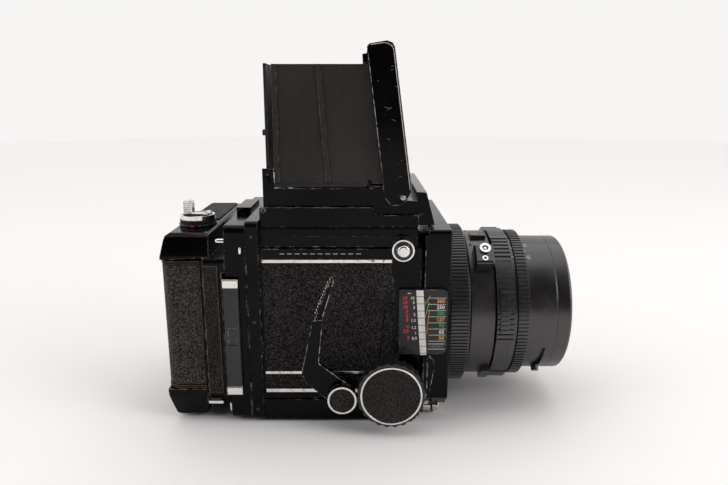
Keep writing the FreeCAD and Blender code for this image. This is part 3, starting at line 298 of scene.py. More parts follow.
def leather(name, scale=1.0, base=(0.0035, 0.003, 0.0028), tip=(0.040, 0.034, 0.031), fray=0.42):
    """Pebbled leather: rounded grains of two sizes with fine wrinkles, painted shade in the valleys and
    painted light on the tips, tan at cut edges.
    """
    r = Recipe(name, 0.5, spec=0.45)
    wobble = r.node("ShaderNodeVectorMath", operation="ADD")
    push = r.node("ShaderNodeTexNoise")
    push.inputs["Scale"].default_value = 700.0 * scale
    push.inputs["Detail"].default_value = 2.0
    r.feed(push.inputs["Vector"], r.place)
    shrink = r.node("ShaderNodeVectorMath", operation="SCALE")
    r.feed(shrink.inputs[0], push.outputs["Color"])
    shrink.inputs["Scale"].default_value = 0.0007 / scale
    r.feed(wobble.inputs[0], r.place)
    r.feed(wobble.inputs[1], shrink.outputs[0])
    where = wobble.outputs[0]
    grain = r.band(r.noise(1500.0 * scale, 1.5, 0.5, where), 0.34, 0.66)
    fine = r.band(r.noise(2400.0 * scale, 1.0, 0.5, where), 0.3, 0.7)
    crease = r.band(r.cells(700.0 * scale, "DISTANCE_TO_EDGE", where), 0.0, 0.16)
    height = r.maths("MULTIPLY", r.mix(0.25, grain, fine), r.mix(crease, 0.45, 1.0))
    patch = r.noise(55.0, 4.0, 0.6)
    # painted shade in the grain's valleys and painted light on its tips, varied by random patches
    tip_light_and_patch = r.maths("MULTIPLY", r.band(height, 0.1, 0.9), r.band(patch, 0.25, 0.8, 0.7, 1.0))
    colour = r.blend(tip_light_and_patch, base, tip)
    frayed = r.maths("MULTIPLY", r.edge(0.0007, 0.03, 0.25), r.band(r.noise(420.0, 3.0), fray, fray + 0.16))
    colour = r.blend(frayed, colour, (0.30, 0.19, 0.12))
    rough = r.mix(tip_light_and_patch, 0.62, 0.40)
    # specular level follows the same painted light: dull in the shaded valleys, shining on the tips
    r.feed(r.shader.inputs["Specular IOR Level"], r.mix(tip_light_and_patch, 0.06, 0.6))
    r.bump(height, 0.0005, 1.0)
    r.bump(r.noise(5200.0, 2.0), 0.00003, 0.6)
    return r.done(colour, rough)


def plated(name, base, rough, pits=(0.33, 0.2, 0.12), pit_low=0.6, brushed=(1.0, 1.0, 1.0)):
    """Bright plating with hairlines, haze and small rusty or brassy pits."""
    r = Recipe(name, rough, metal=1.0)
    lines = r.noise(600.0, 4.0, 0.6, r.stretch(brushed))
    haze = r.noise(120.0, 4.0, 0.6)
    pitted = r.band(r.noise(480.0, 5.0, 0.7), pit_low, pit_low + 0.09)
    colour = r.blend(r.band(haze, 0.3, 0.8), base, tuple(c * 0.78 for c in base))
    colour = r.blend(pitted, colour, pits)
    shine = r.mix(r.band(lines, 0.3, 0.75), rough * 0.7, rough * 1.6)
    shine = r.mix(pitted, shine, 0.62)
    r.bump(lines, 0.000012, 0.6)
    return r.done(colour, shine)


def anodised(name, base, rough, wear=0.3):
    """Black anodised lens metal, with turning marks along the axis and rubbed rib tops."""
    r = Recipe(name, rough, spec=0.9)
    turn = r.noise(3200.0, 2.0, 0.5, r.stretch((0.02, 1.0, 0.02)))
    cloud = r.noise(60.0, 4.0, 0.6)
    colour = r.blend(r.band(cloud, 0.3, 0.8), base, tuple(c * 1.8 + 0.003 for c in base))
    broken = r.band(r.noise(350.0, 3.0), 0.62 - wear * 0.3, 0.8 - wear * 0.2)
    rubbed = r.maths("MULTIPLY", r.edge(0.0005, 0.03, 0.3), broken)
    colour = r.blend(rubbed, colour, (0.16, 0.15, 0.145))
    dust = r.band(r.noise(1700.0, 1.0), 0.78, 0.83)
    colour = r.blend(r.maths("MULTIPLY", dust, 0.4), colour, (0.22, 0.21, 0.2))
    shine = r.mix(r.band(cloud, 0.25, 0.8), rough * 0.85, rough * 1.35)
    r.bump(turn, 0.000012, 0.7)
    r.bump(r.noise(4200.0, 2.0), 0.000012, 0.5)
    return r.done(colour, shine)


def grained(name, base, rough, scale=2600.0, depth=0.00005):
    """Fine crackle-grain matt paint, as on the hood's wings."""
    r = Recipe(name, rough, spec=0.4)
    grain = r.cells(scale, "F1")
    cloud = r.noise(30.0, 4.0, 0.6)
    streak = r.noise(90.0, 4.0, 0.6, r.stretch((1.0, 2.5, 0.4)))
    colour = r.blend(r.band(cloud, 0.3, 0.8), base, tuple(c * 1.5 + 0.004 for c in base))
    peaks = r.maths("MULTIPLY", r.band(grain, 0.0, 0.35, 1.0, 0.0), 0.35)
    colour = r.blend(peaks, colour, tuple(c * 2.8 for c in base))
    rubbed = r.maths("MULTIPLY", r.edge(0.0006, 0.04, 0.3), r.band(r.noise(300.0, 3.0), 0.45, 0.62))
    colour = r.blend(rubbed, colour, (0.25, 0.22, 0.2))
    shine = r.mix(r.band(streak, 0.3, 0.8), rough * 0.85, rough * 1.2)
    r.bump(grain, depth, 0.8)
    return r.done(colour, shine)


def moulded(name, base, rough):
    r = Recipe(name, rough, spec=0.5)
    cloud = r.noise(80.0, 3.0)
    colour = r.blend(r.band(cloud, 0.3, 0.8), base, tuple(c * 1.6 + 0.004 for c in base))
    rubbed = r.maths("MULTIPLY", r.edge(0.0006, 0.05, 0.35), r.band(r.noise(240.0, 3.0), 0.4, 0.65))
    colour = r.blend(rubbed, colour, (0.13, 0.12, 0.115))
    r.bump(r.noise(3600.0, 2.0), 0.00002, 0.6)
    return r.done(colour, r.mix(r.band(r.noise(140.0, 4.0), 0.3, 0.8), rough * 0.8, rough * 1.3))


def cloth(name):
    r = Recipe(name, 0.85, sheen=0.15)
    weave = r.cells(3800.0, "F1", randomness=0.3)
    colour = r.blend(r.band(r.noise(90.0, 3.0), 0.3, 0.8), (0.009, 0.009, 0.009), (0.022, 0.021, 0.02))
    r.bump(weave, 0.00005, 0.6)
    return r.done(colour, r.mix(r.noise(200.0, 3.0), 0.75, 0.95))


def paint_mark(name, colour, rough=0.5):
    """Ink or filled paint of a printed mark, slightly uneven."""
    r = Recipe(name, rough)
    uneven = r.band(r.noise(1400.0, 3.0, 0.6), 0.3, 0.75)
    tone = r.blend(uneven, tuple(c * 0.72 for c in colour), colour)
    r.bump(r.noise(4000.0, 2.0), 0.00001, 0.5)
    return r.done(tone, r.mix(uneven, rough * 1.3, rough * 0.8))


def worn_line(name, colour, scale, low=0.40):
    """Rubbed edge: bare metal in broken stretches along black paint. On the cocking lever the same lines are
    painted highlights.
    """
    r = Recipe(name, 0.4)
    broken = r.band(r.noise(scale, 4.0, 0.65), low, low + 0.18)
    tone = r.blend(broken, (0.012, 0.010, 0.009), colour)
    r.bump(r.noise(3000.0, 2.0), 0.00003, 0.6)
    return r.done(tone, r.mix(broken, 0.3, 0.5))


def glass(name, tint, rough=0.0):
    r = Recipe(name, rough)
    r.shader.inputs["Transmission Weight"].default_value = 1.0
    r.shader.inputs["IOR"].default_value = 1.52
    r.shader.inputs["Base Color"].default_value = (*tint, 1)
    dust = r.band(r.noise(700.0, 4.0, 0.6), 0.55, 0.8, rough, rough + 0.06)
    r.bump(r.noise(45.0, 2.0), 0.000004, 0.3)
    return r.done(None, dust)


def ruler_ink(name):
    """Pale plastic ruler: fine vertical grid, cross ticks every so often and small red dots."""
    r = Recipe(name, 0.42)
    y, z = r.axis("Y"), r.axis("Z")
    lean = r.maths("ADD", y, r.maths("MULTIPLY", z, -0.075))
    fine = r.maths("ABSOLUTE", r.maths("SUBTRACT", r.maths("FRACT", r.maths("MULTIPLY", lean, 1250.0)), 0.5))
    rows = r.maths("ABSOLUTE", r.maths("SUBTRACT", r.maths("FRACT", r.maths("MULTIPLY", z, 245.0)), 0.5))
    tick = r.band(rows, 0.035, 0.075, 1.0, 0.0)
    hair = r.maths("MULTIPLY", r.band(fine, 0.05, 0.12, 1.0, 0.0), 0.30)
    colour = r.blend(r.band(r.noise(300.0, 4.0), 0.35, 0.8), (0.80, 0.77, 0.75), (0.66, 0.63, 0.62))
    colour = r.blend(hair, colour, (0.3, 0.29, 0.3))
    colour = r.blend(r.maths("MULTIPLY", tick, 0.75), colour, (0.04, 0.04, 0.045))
    r.bump(r.noise(900.0, 2.0), 0.00002, 0.4)
    return r.done(colour, r.mix(r.noise(500.0, 3.0), 0.3, 0.55))


def lock_metal(name):
    """Blackened bar whose end blocks are bright: the change is by height."""
    r = Recipe(name, 0.3)
    z = r.axis("Z")
    bright = r.maths("ADD", r.band(z, 0.0799, 0.0801), r.band(z, 0.0224, 0.0226, 1.0, 0.0), clamp=True)
    grime = r.band(r.noise(300.0, 5.0, 0.7), 0.60, 0.70)
    shiny = r.blend(grime, (0.74, 0.73, 0.71), (0.34, 0.27, 0.22))
    dull = r.blend(r.band(r.noise(60.0, 4.0), 0.3, 0.8), (0.006, 0.0058, 0.006), (0.017, 0.016, 0.016))
    rubbed = r.maths("MULTIPLY", r.edge(0.0007, 0.03, 0.25), r.band(r.noise(300.0, 3.0), 0.45, 0.62))
    dull = r.blend(rubbed, dull, (0.4, 0.36, 0.33))
    r.bump(r.noise(900.0, 3.0), 0.00002, 0.5)
    return r.done(r.blend(bright, dull, shiny), r.mix(bright, 0.34, r.mix(grime, 0.16, 0.5)), bright)


MATS = {
    "enamel": enamel("gloss_enamel", (0.0012, 0.0011, 0.0011), 0.13, 0.5),
    "enamel_front": enamel("front_enamel", (0.0016, 0.0014, 0.0014), 0.15, 0.8, (0.62, 0.58, 0.55)),
    "enamel_hood": enamel("hood_enamel", (0.0012, 0.0011, 0.0011), 0.12, 1.0, (0.62, 0.50, 0.46)),
    "enamel_back": enamel("back_enamel", (0.0012, 0.0011, 0.0011), 0.14, 0.75, (0.45, 0.32, 0.24)),
    "satin": enamel("satin_enamel", (0.007, 0.0068, 0.007), 0.40, 0.3, spec=0.45),
    "leather": leather("pebbled_leather"),
    "leather_door_worn_and_lit": leather("door_leather", 1.0, (0.014, 0.0115, 0.011), (0.098, 0.082, 0.077)),
    # lighter copy of the leather: partly wear, partly painted light on the door side that the lamps catch
    "leather_worn": leather("worn_leather", 1.1, fray=0.30),
    "leather_cap": leather("cap_leather", 1.25, (0.009, 0.0078, 0.0074), (0.052, 0.044, 0.041)),
    "bright": plated("bright_plate", (0.80, 0.79, 0.77), 0.16, pit_low=0.64),
    "trim": plated("trim_plate", (0.78, 0.76, 0.74), 0.22, (0.28, 0.16, 0.09), 0.57, (1.0, 0.15, 1.0)),
    "worn_edge": enamel("worn_bead", (0.008, 0.006, 0.005), 0.34, 1.3, (0.30, 0.17, 0.11)),
    "steel": plated("plain_steel", (0.50, 0.50, 0.50), 0.32, (0.2, 0.17, 0.15), 0.66),
    "dark_steel": plated("dark_steel", (0.05, 0.05, 0.055), 0.38),
    "hood_grain": grained("hood_grain", (0.0115, 0.0092, 0.0082), 0.62),
    "lens": anodised("lens_anodised", (0.0060, 0.0048, 0.0043), 0.30),
    "lens_rib": anodised("lens_ribs", (0.0055, 0.0045, 0.0040), 0.30, 1.0),
    "plastic": moulded("black_moulding", (0.006, 0.006, 0.0063), 0.34),
    "bellows": cloth("bellows_cloth"),
    "screen": glass("ground_screen", (0.82, 0.84, 0.84), 0.45),
    "glass": glass("coated_glass", (0.86, 0.88, 0.98)),
    "mirror": plated("front_silver", (0.9, 0.9, 0.9), 0.02, (0.8, 0.8, 0.8), 0.9),
    "ruler": ruler_ink("ruler_ink"),
    "lock": lock_metal("lock_bar_metal"),
    "white": paint_mark("mark_white", (0.78, 0.77, 0.74)),
    "red": paint_mark("mark_red", (0.85, 0.035, 0.03)),
    "orange": paint_mark("mark_orange", (0.86, 0.38, 0.035)),
    "green": paint_mark("mark_green", (0.015, 0.36, 0.10)),
    "grey": paint_mark("mark_grey", (0.32, 0.31, 0.30)),
    "tan": worn_line("worn_tan", (0.20, 0.13, 0.095), 420.0),
    # worn rims on the lid; the same lines on the cocking lever are painted highlights
    "worn_and_highlight_rim": worn_line("worn_and_highlight_rim", (0.55, 0.47, 0.43), 260.0),
    "pale_rim": worn_line("pale_rim", (0.62, 0.52, 0.49), 180.0, 0.27),
    "brass": plated("worn_brass", (0.66, 0.47, 0.24), 0.3),
}

LOOK = {
    "enamel": ["body_casting", "base_cover", "hood_base", "adapter_plate"],
    "enamel_front": ["front_standard", "cocking_lever"],
    "enamel_hood": ["hood_lid"],
    "enamel_back": ["film_back_frame", "rear_door"],
    "satin": ["distance_scale", "moving_scale", "mirror_frame", "focus_lock_lever", "wind_knob",
              "magnifier_frame"],
    "leather": ["body_leather"],
    "leather_door_worn_and_lit": ["door_leather"],
    "leather_worn": ["frame_leather"],
    "leather_cap": ["focus_knob_caps"],
    "bright": ["strap_lugs", "focus_knob_rings", "wind_ring", "wind_crank", "sync_socket", "shutter_release",
               "release_collar", "cocking_cap"],
    "trim": ["trim_strips"],
    "worn_edge": ["door_beads"],
    "steel": ["tripod_bush", "accessory_shoe", "door_pin", "magnifier_pins", "focus_shaft",
              "focus_rails", "cocking_shaft", "pressure_plate", "dark_slide"],
    "dark_steel": ["aperture_blades", "hinge_pins"],
    "hood_grain": ["hood_wing_right", "hood_wing_left", "hood_rear_wing"],
    "lens": ["lens_barrel", "front_barrel", "lens_cells", "dof_lever"],
    "lens_rib": ["lens_lock_ring", "shutter_ring", "aperture_ring"],
    "plastic": ["focus_knobs", "takeup_spool"],
    "bellows": ["bellows"],
    "screen": ["focusing_screen"],
    "glass": ["lens_elements", "magnifier_lens"],
    "mirror": ["mirror_glass"],
    "ruler": ["distance_ruler"],
    "lock": ["lock_bar_right", "lock_bar_left"],
}

ROUND_OVER = {
    "body_casting": 0.5, "base_cover": 0.4, "front_standard": 0.35, "hood_base": 0.4, "adapter_plate": 0.5,
    "hood_lid": 0.35, "film_back_frame": 0.5, "rear_door": 0.3, "distance_scale": 0.25, "moving_scale": 0.25,
    "cocking_lever": 0.3, "strap_lugs": 0.25, "focus_knobs": 0.35, "wind_knob": 0.2, "wind_crank": 0.3,
    "lens_barrel": 0.3, "front_barrel": 0.35, "lock_bar_right": 0.3, "lock_bar_left": 0.3, "trim_strips": 0.2,
    "shutter_ring": 0.15, "aperture_ring": 0.15, "lens_lock_ring": 0.15, "body_leather": 0.35,
    "hood_wing_right": 0.2, "hood_wing_left": 0.2, "hood_rear_wing": 0.2, "focus_knob_rings": 0.2,
    "cocking_cap": 0.3, "accessory_shoe": 0.3, "door_beads": 0.2, "frame_leather": 0.3, "door_leather": 0.3,
    "focus_knob_caps": 0.3, "wind_ring": 0.25, "dark_slide": 0.15,
}


def dress_cad():
    """Give each CAD node its material, and round the edges of the outer ones."""
    for key, names in LOOK.items():
        for name in names:
            mesh = NODES[name].data
            mesh.materials.clear()
            mesh.materials.append(MATS[key])
    for name, width in ROUND_OVER.items():
        o = NODES[name]
        weld = o.modifiers.new("weld", "WELD")
        weld.merge_threshold = 0.00001
        mod = o.modifiers.new("round", "BEVEL")
        mod.width = width * MM
        mod.segments = 2
        mod.limit_method = "ANGLE"
        mod.angle_limit = math.radians(40)
        mod.harden_normals = False
        smooth = o.modifiers.new("weighted", "WEIGHTED_NORMAL")
        smooth.keep_sharp = False


# ------------------------------------------------------------------ small pieces
def link(o, body, material):
    bpy.context.scene.collection.objects.link(o)
    o.data.materials.append(MATS[material])
    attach(o, body)
    return o


def mesh_piece(name, bm, body, material, smooth=False):
    mesh = bpy.data.meshes.new(name)
    bm.normal_update()
    bm.to_mesh(mesh)
    bm.free()
    for p in mesh.polygons:
        p.use_smooth = smooth
    return link(bpy.data.objects.new(name, mesh), body, material)


def slab(name, low, high, body, material, bevel=0.1):
    """Thin rounded block between two corners, in mm."""
    bm = bmesh.new()
    bmesh.ops.create_cube(bm, size=1.0)
    low, high = Vector(low) * MM, Vector(high) * MM
    for v in bm.verts:
        v.co = Vector(((low[i] + high[i]) / 2 + v.co[i] * (high[i] - low[i])) for i in range(3))
    bmesh.ops.bevel(bm, geom=bm.edges[:], offset=bevel * MM, segments=2, affect="EDGES", profile=0.5)
    return mesh_piece(name, bm, body, material)


def stroke(name, points, radius, body, material):
    """Raised painted line through points given in mm."""
    data = bpy.data.curves.new(name, "CURVE")
    data.dimensions = "3D"
    data.bevel_depth = radius * MM
    data.bevel_resolution = 1
    line = data.splines.new("POLY")
    line.points.add(len(points) - 1)
    for p, at in zip(line.points, points):
        p.co = (*(Vector(at) * MM), 1.0)
    return link(bpy.data.objects.new(name, data), body, material)


def numeral(name, text, size, frame_matrix, body, material, align="CENTER", bold=0.02):
    """Raised figure on a frame; size and bold in mm."""
    data = bpy.data.curves.new(name, "FONT")
    data.body = text
    data.size = size * MM
    data.extrude = 0.02 * MM
    data.offset = bold * MM
    data.resolution_u = 3
    data.align_x = align
    data.align_y = "CENTER"
    o = bpy.data.objects.new(name, data)
    o.matrix_world = frame_matrix
    return link(o, body, material)


def facing(right, up, at):
    """Frame whose x runs along right and y along up, at a point in mm."""
    right, up = Vector(right), Vector(up)
    out = right.cross(up)
    m = Matrix((right, up, out)).transposed().to_4x4()
    m.translation = Vector(at) * MM
    return m


def right_side(y, z, x):
    """Frame on the camera's right side, read from outside."""
    return facing((0, -1, 0), (0, 0, 1), (x, y, z))


def on_barrel(angle, radius, y):
    """Frame on the lens at an angle from the top, read from behind the camera."""
    a = math.radians(angle)
    out = Vector((math.sin(a), 0, math.cos(a)))
    right = Vector((-math.cos(a), 0, math.sin(a)))
    up = out.cross(right)
    m = Matrix((right, up, out)).transposed().to_4x4()
    m.translation = LENS_AXIS + out * radius * MM + Vector((0, y * MM, 0))
    return m


def standing(centre, direction):
    """Frame at a point in mm whose z runs along direction."""
    turn = Vector(direction).to_track_quat("Z", "Y").to_matrix().to_4x4()
    return Matrix.Translation(Vector(centre) * MM) @ turn


def circle(bm, radius, height, count):
    """Vertices round z at a radius and height in mm."""
    turns = [2 * math.pi * k / count for k in range(count)]
    return [bm.verts.new((radius * MM * math.cos(a), radius * MM * math.sin(a), height * MM)) for a in turns]


def skin(bm, rings):
    """Sides between circles that follow each other upwards, and a face across each end."""
    count = len(rings[0])
    for low, high in zip(rings, rings[1:]):
        for k in range(count):
            bm.faces.new((low[k], low[(k + 1) % count], high[(k + 1) % count], high[k]))
    bm.faces.new(list(reversed(rings[0])))
    bm.faces.new(rings[-1])


def screw(name, centre, direction, radius, body, material="bright", height=0.5):
    """Slotted screw head, domed at its rim."""
    place = standing(centre, direction)
    count = 24
    bm = bmesh.new()
    profile = [(radius * 0.72, height), (radius, height * 0.45), (radius, -0.3)]
    rings = [circle(bm, r, h, count) for r, h in profile]
    slot_half = radius * 0.13
    for a, b in zip(rings, rings[1:]):
        for k in range(count):
            bm.faces.new((a[k], b[k], b[(k + 1) % count], a[(k + 1) % count]))
    bm.faces.new(rings[0])
    bm.faces.new(list(reversed(rings[-1])))
    bm.transform(place)
    mesh_piece(name, bm, body, material)
    bm = bmesh.new()
    bmesh.ops.create_cube(bm, size=1.0)
    for v in bm.verts:
        v.co = Vector((v.co.x * radius * 1.5 * MM, v.co.y * slot_half * 2 * MM,
                       (height + v.co.z * 0.06) * MM))
    bm.transform(place @ Matrix.Rotation(RNG.uniform(0, math.pi), 4, "Z"))
    mesh_piece(name + "_slot", bm, body, "dark_steel")


def ring_piece(name, centre, direction, r_out, r_in, height, body, material, count=48):
    """Flat washer with softened outer edges."""
    soft = min(height, r_out - r_in) * 0.3
    profile = [(r_in, 0), (r_in, height - soft), (r_in + soft, height), (r_out - soft, height),
               (r_out, height - soft), (r_out, 0)]
    bm = bmesh.new()
    loops = [circle(bm, r, h, count) for r, h in profile]
    for a, b in zip(loops, loops[1:] + loops[:1]):
        for k in range(count):
            bm.faces.new((a[k], a[(k + 1) % count], b[(k + 1) % count], b[k]))
    bmesh.ops.recalc_face_normals(bm, faces=bm.faces[:])
    bm.transform(standing(centre, direction))
    return mesh_piece(name, bm, body, material)


# ------------------------------------------------------------------ the distance scale
def distance_marks():
    """Figures on the fixed plate; rows, bars and curves on the plate that moves with the front standard."""
    feet = [("30", 74.6), ("15", 71.9), ("10", 69.2), ("7", 66.4), ("6", 64.2), ("5", 61.9), ("4", 58.0),
            ("3.5", 55.4), ("3", 51.4)]
    metres = [("10", 74.4), ("5", 71.9), ("3", 68.9), ("2", 65.0), ("1.5", 61.6), ("1.2", 57.5), ("1", 54.2),
              ("0.9", 51.2)]
    columns = (("feet", feet, -31.2, 0.06, 2.6, "red", 0.06),
               ("metres", metres, -35.0, 0.075, 2.3, "white", 0.05))
    for unit, figures, y_top, slant, size, ink, bold in columns:
        for i, (text, z) in enumerate(figures):
            place = right_side(y_top - (79.2 - z) * slant, z, FIXED_SCALE_X)
            numeral("%s_%d" % (unit, i), text, size, place, "camera_body", ink, "RIGHT", bold)
    slab("unit_bar_feet", (FIXED_SCALE_X - 0.03, -33.4, 76.9), (FIXED_SCALE_X + 0.1, -31.6, 77.4),
         "camera_body", "white", 0.02)

    def bar(name, y_low, y_high, z_low, z_high, ink="white"):
        slab(name, (MOVING_SCALE_X - 0.02, y_low, z_low), (MOVING_SCALE_X + 0.1, y_high, z_high),
             "front_standard", ink, 0.02)

    rows = [("360", "orange"), ("250", "white"), ("180", "green"), ("127", "orange"), ("90", "green"),
            ("65", "white"), ("50", "orange")]
    top, pitch = 74.4, 3.55
    for i, (text, ink) in enumerate(rows):
        place = right_side(-51.9, top - pitch * (i + 0.5), MOVING_SCALE_X)
        numeral("focal_%d" % i, text, 2.9, place, "front_standard", ink, "RIGHT", 0.09)
    for i in range(len(rows) + 1):
        z = top - pitch * i
        bar("row_line_%d" % i, -52.6, -42.6 - 0.12 * i, z - 0.13, z + 0.13)
    for i, z in enumerate((47.9, 44.9)):
        bar("row_foot_%d" % i, -52.4, -43.2, z - 0.17, z + 0.17)
    for i in range(6):
        y = -44.6 - 1.25 * i
        bar("step_tick_%d" % i, y - 0.3, y + 0.3, 46.0, 46.8, "grey")
    curves = [
        ("curve_green", "green", 0.42, [(-40.7, 73.8), (-41.4, 70.4), (-42.3, 71.8), (-43.6, 74.9)]),
        ("curve_green_low", "green", 0.34, [(-40.9, 72.4), (-40.9, 67.4)]),
        ("curve_orange_top", "orange", 0.34, [(-40.8, 70.9), (-43.9, 75.7)]),
        ("curve_white", "white", 0.22, [(-41.0, 62.6), (-42.1, 66.4), (-43.4, 72.2)]),
        ("curve_orange", "orange", 0.34, [(-42.5, 53.6), (-42.6, 58.0), (-43.1, 63.2), (-43.6, 67.6)]),
    ]
    for name, ink, width, line in curves:
        stroke(name, [(MOVING_SCALE_X + 0.02, y, z) for y, z in line], width * 0.5, "front_standard", ink)


# ------------------------------------------------------------------ marks on the lens
def tick(name, m, half_width, half_length, ink):
    """Thin printed dash on a lens ring."""
    bm = bmesh.new()
    bmesh.ops.create_cube(bm, size=1.0)
    for v in bm.verts:
        v.co = Vector((v.co.x * 2 * half_width * MM, v.co.y * 2 * half_length * MM, v.co.z * 0.08 * MM))
    bm.transform(m)
    return mesh_piece(name, bm, "front_standard", ink)


def lens_marks():
    """Generic figures and ticks on the lens rings, and the barrel's screws."""
    for i, text in enumerate(["3.8", "5.6", "8", "11", "16", "22", "32"]):
        numeral("stop_%d" % i, text, 2.6, on_barrel(-34 + 15 * i, STOP_RADIUS, -104.2), "front_standard",
                "orange" if text == "8" else "white")
    for i in range(13):
        tick("stop_tick_%d" % i, on_barrel(-34 + 7.5 * i, STOP_TICK_RADIUS, -102.3), 0.22, 0.9, "white")
    for i, text in enumerate(["1", "2", "4", "8", "15", "30", "60", "125", "250", "400"]):
        numeral("speed_%d" % i, text, 2.4, on_barrel(-26 + 17 * i, SPEED_RADIUS, -79.6), "front_standard",
                "orange" if text == "30" else "white")
    for i in range(9):
        tick("index_tick_%d" % i, on_barrel(-36 + 9 * i, INDEX_RADIUS, -93.9), 0.25, 1.1,
             "orange" if i == 4 else "white")
    tick("clip_mark", on_barrel(-12, CLIP_RADIUS, -73.6), 0.5, 2.4, "orange")
    for i, angle in enumerate((-58, -24, 4)):
        m = on_barrel(angle, SCREW_RADIUS, -70.6)
        out = m.to_3x3() @ Vector((0, 0, 1))
        screw("barrel_screw_%d" % i, m.translation / MM, out, 0.9, "front_standard", "dark_steel",
              0.25)


# ------------------------------------------------------------------ body details
def body_details():
    # equal plain dashes stand where a name would be; they spell nothing
    for i in range(11):
        y = 36.0 - 4.1 * i
        slab("plate_dash_%d" % i, (-52.16, y - 1.3, 98.3), (-52.0, y + 1.3, 98.9), "camera_body", "grey",
             0.03)
    ring_piece("seam_screw_rim", (-45.6, 46.2, 121.0), (-1, 0, 0), 1.5, 0.85, 0.8, "camera_body", "tan",
               28)
    screw("seam_screw", (-45.8, 46.2, 121.0), (-1, 0, 0), 0.8, "camera_body", "dark_steel", 0.4)
    for side, letter in SIDES:
        # dark ring painted as the shade in the groove round each strap lug
        ring_piece("lug_groove_shade_" + letter, (54.72 * side, -28.9, 101.0), (side, 0, 0), 5.1, 3.5, 0.26,
                   "camera_body", "dark_steel")
        for i, (y, z) in enumerate(((52.2, 108.0), (52.2, 8.0), (52.2, 60.0))):
            screw("rear_plate_screw_%s_%d" % (letter, i), (52.5 * side, y, z), (side, 0, 0), 1.0,
                  "camera_body", "dark_steel", 0.2)
        screw("lid_pivot_head_" + letter, (45.9 * side, -29.0, 128.0), (side, 0, 0), 1.4, "camera_body",
              "steel", 0.3)


def cap_faces():
    """Leather disc set into the cocking lever's cap."""
    bm = bmesh.new()
    skin(bm, [circle(bm, 6.9, height, 64) for height in (0.0, 0.18)])
    bm.transform(standing((-66.38, 3.9, 20.1), (-1, 0, 0)))
    mesh_piece("cocking_cap_face", bm, "cocking_lever", "leather_cap")


def lever_details():
    """Painted highlight lines along the cocking lever's edges, and the milled edge of its tip."""
    count = 11
    for i in range(count):
        t = (i + 0.5) / count
        y, z = 18.3 - 7.6 * t, 67.4 + 18.6 * t
        run = [(-60.06, y - 0.1, z - 0.42), (-60.06, y + 0.35, z + 0.1), (-60.06, y - 0.15, z + 0.42)]
        stroke("lever_mill_%d" % i, run, 0.17, "cocking_lever", "bright")
    lines = [
        ("tip", 0.15, -60.04, [(14.1, 66.4), (11.1, 76.0), (8.3, 85.2), (8.7, 88.6), (10.2, 86.6)]),
        ("step", 0.16, -61.24, [(19.3, 63.9), (14.3, 64.4)]),
        ("inner", 0.17, -61.22, [(16.5, 39.2), (12.0, 35.7), (7.0, 31.8), (2.0, 28.0)]),
        ("outer", 0.13, -61.22, [(16.7, 41.0), (15.6, 52.0), (14.2, 64.0)]),
    ]
    # the lever's edge lines are painted highlights where its bevels catch the light
    for name, radius, x, run in lines:
        stroke("lever_highlight_" + name, [(x, y, z) for y, z in run], radius, "cocking_lever", "worn_and_highlight_rim")


def pin_piece(name, start, end, radius, body, material, count=20):
    """Small rod with domed ends between two points in mm."""
    along = Vector(end) - Vector(start)
    length = along.length
    steps = [(0.0, radius * 0.5), (radius * 0.45, radius * 0.9), (radius, radius), (length - radius, radius),
             (length - radius * 0.45, radius * 0.9), (length, radius * 0.5)]
    bm = bmesh.new()
    skin(bm, [circle(bm, r, h, count) for h, r in steps])
    bm.transform(standing(start, along))
    return mesh_piece(name, bm, body, material, smooth=True)


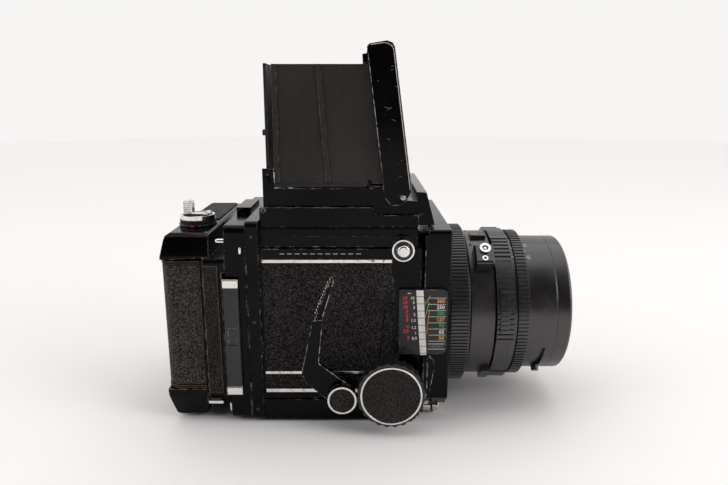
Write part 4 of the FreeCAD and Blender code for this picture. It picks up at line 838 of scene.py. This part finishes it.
def back_details():
    """Dots on the wind knob's rim, and the bright pins and latches that hold the back."""
    inner, outer = WIND_KNOB_RIM - 0.1, WIND_KNOB_RIM + 0.12
    dots = (("wind_dot_red", "red", 184.0, 5.0, 109.75, 110.55),
            ("wind_dot_brass", "brass", 161.0, 2.6, 109.8, 110.6))
    for name, ink, angle, half, z0, z1 in dots:
        bm = bmesh.new()
        loops = []
        for k in range(7):
            t = math.radians(angle + half * (k - 3) / 3)
            c, n = math.cos(t), math.sin(t)
            corners = ((inner, z0), (outer, z0), (outer, z1), (inner, z1))
            loops.append([bm.verts.new(((WIND_KNOB_X + r * c) * MM, (WIND_KNOB_Y - r * n) * MM, z * MM))
                          for r, z in corners])
        for a, b in zip(loops, loops[1:]):
            for k in range(4):
                bm.faces.new((a[k], a[(k + 1) % 4], b[(k + 1) % 4], b[k]))
        bm.faces.new(loops[0])
        bm.faces.new(list(reversed(loops[-1])))
        bmesh.ops.recalc_face_normals(bm, faces=bm.faces[:])
        mesh_piece(name, bm, "wind_knob", ink)
    for sign, side in SIDES:
        x = 50.0 * sign
        pin_piece("back_nub_" + side, (x, 66.4, 105.2), (x, 71.9, 105.2), 1.2, "revolving_back", "bright")
        pin_piece("back_tip_" + side, (x + 2.2 * sign, 58.5, 98.4), (x + 2.2 * sign, 58.5, 102.2), 0.8,
                  "revolving_back", "bright")
        pin_piece("back_stud_" + side, (x, 67.7, 5.6), (x, 67.7, 11.0), 0.85, "revolving_back", "bright")
        low, high = sorted((x - 0.2 * sign, x + 3.0 * sign))
        slab("back_latch_" + side, (low, 71.4, 11.4), (high, 79.7, 13.4), "revolving_back", "bright",
             0.3)
        slab("back_latch_root_" + side, (low, 72.6, 13.0), (high - 0.6, 78.6, 14.9), "revolving_back",
             "satin", 0.2)


def lid_spot(x, u, w):
    """Point on the lid's own plane: u runs up it and w runs rearwards, both in mm."""
    return (x, LID_FOOT_Y + u * math.sin(LID_LEAN) + w * math.cos(LID_LEAN),
            LID_FOOT_Z + u * math.cos(LID_LEAN) - w * math.sin(LID_LEAN))


def hood_details():
    """Rubbed seams and rims on the hood, and scuffs on both faces of its lid."""
    outline = [(8.0, 0.9), (30.0, 0.9), (55.0, 0.9), (80.4, 0.9), (82.2, 1.5), (83.6, 3.2), (84.3, 5.0),
               (84.3, 12.2)]
    inner = [(17.0 + 64.0 * k / 24, 14.5 - 0.5 * k / 24) for k in range(25)]
    scuffs = [(52.0, 7.4, 1.6, 0.3), (51.4, 6.6, 1.2, -0.4), (45.4, 5.2, 0.9, 0.6), (70.6, 2.9, 0.6, 0.1),
              (72.4, 2.5, 0.5, -0.2), (62.0, 1.9, 0.4, 0.3), (36.0, 9.0, 0.5, 0.5), (24.0, 3.6, 0.4, -0.5),
              (15.6, 5.2, 0.5, 0.2), (66.0, 10.6, 0.4, 0.4)]
    for side, letter in SIDES:
        run = [(46.02 * side, 47.6 - 59.0 * k / 24, 122.62 + 0.05 * math.sin(k * 1.7)) for k in range(25)]
        stroke("hood_seam_" + letter, run, 0.16, "camera_body", "tan")
        stroke("lid_rim_" + letter, [lid_spot(45.24 * side, u, w) for u, w in outline], 0.2, "hood_lid",
               "pale_rim")
        stroke("lid_inner_rim_" + letter, [lid_spot(45.22 * side, u, w) for u, w in inner], 0.13, "hood_lid",
               "worn_and_highlight_rim")
        for i, (u, w, half, lean) in enumerate(scuffs):
            ends = [lid_spot(45.2 * side, u + lean * t * half, w + t * half) for t in (-1.0, 0.1, 1.0)]
            stroke("lid_scuff_%s_%d" % (letter, i), ends, 0.09, "hood_lid", "grey")


add_camera()
add_studio()
dress_cad()
distance_marks()
lens_marks()
body_details()
cap_faces()
lever_details()
back_details()
hood_details()
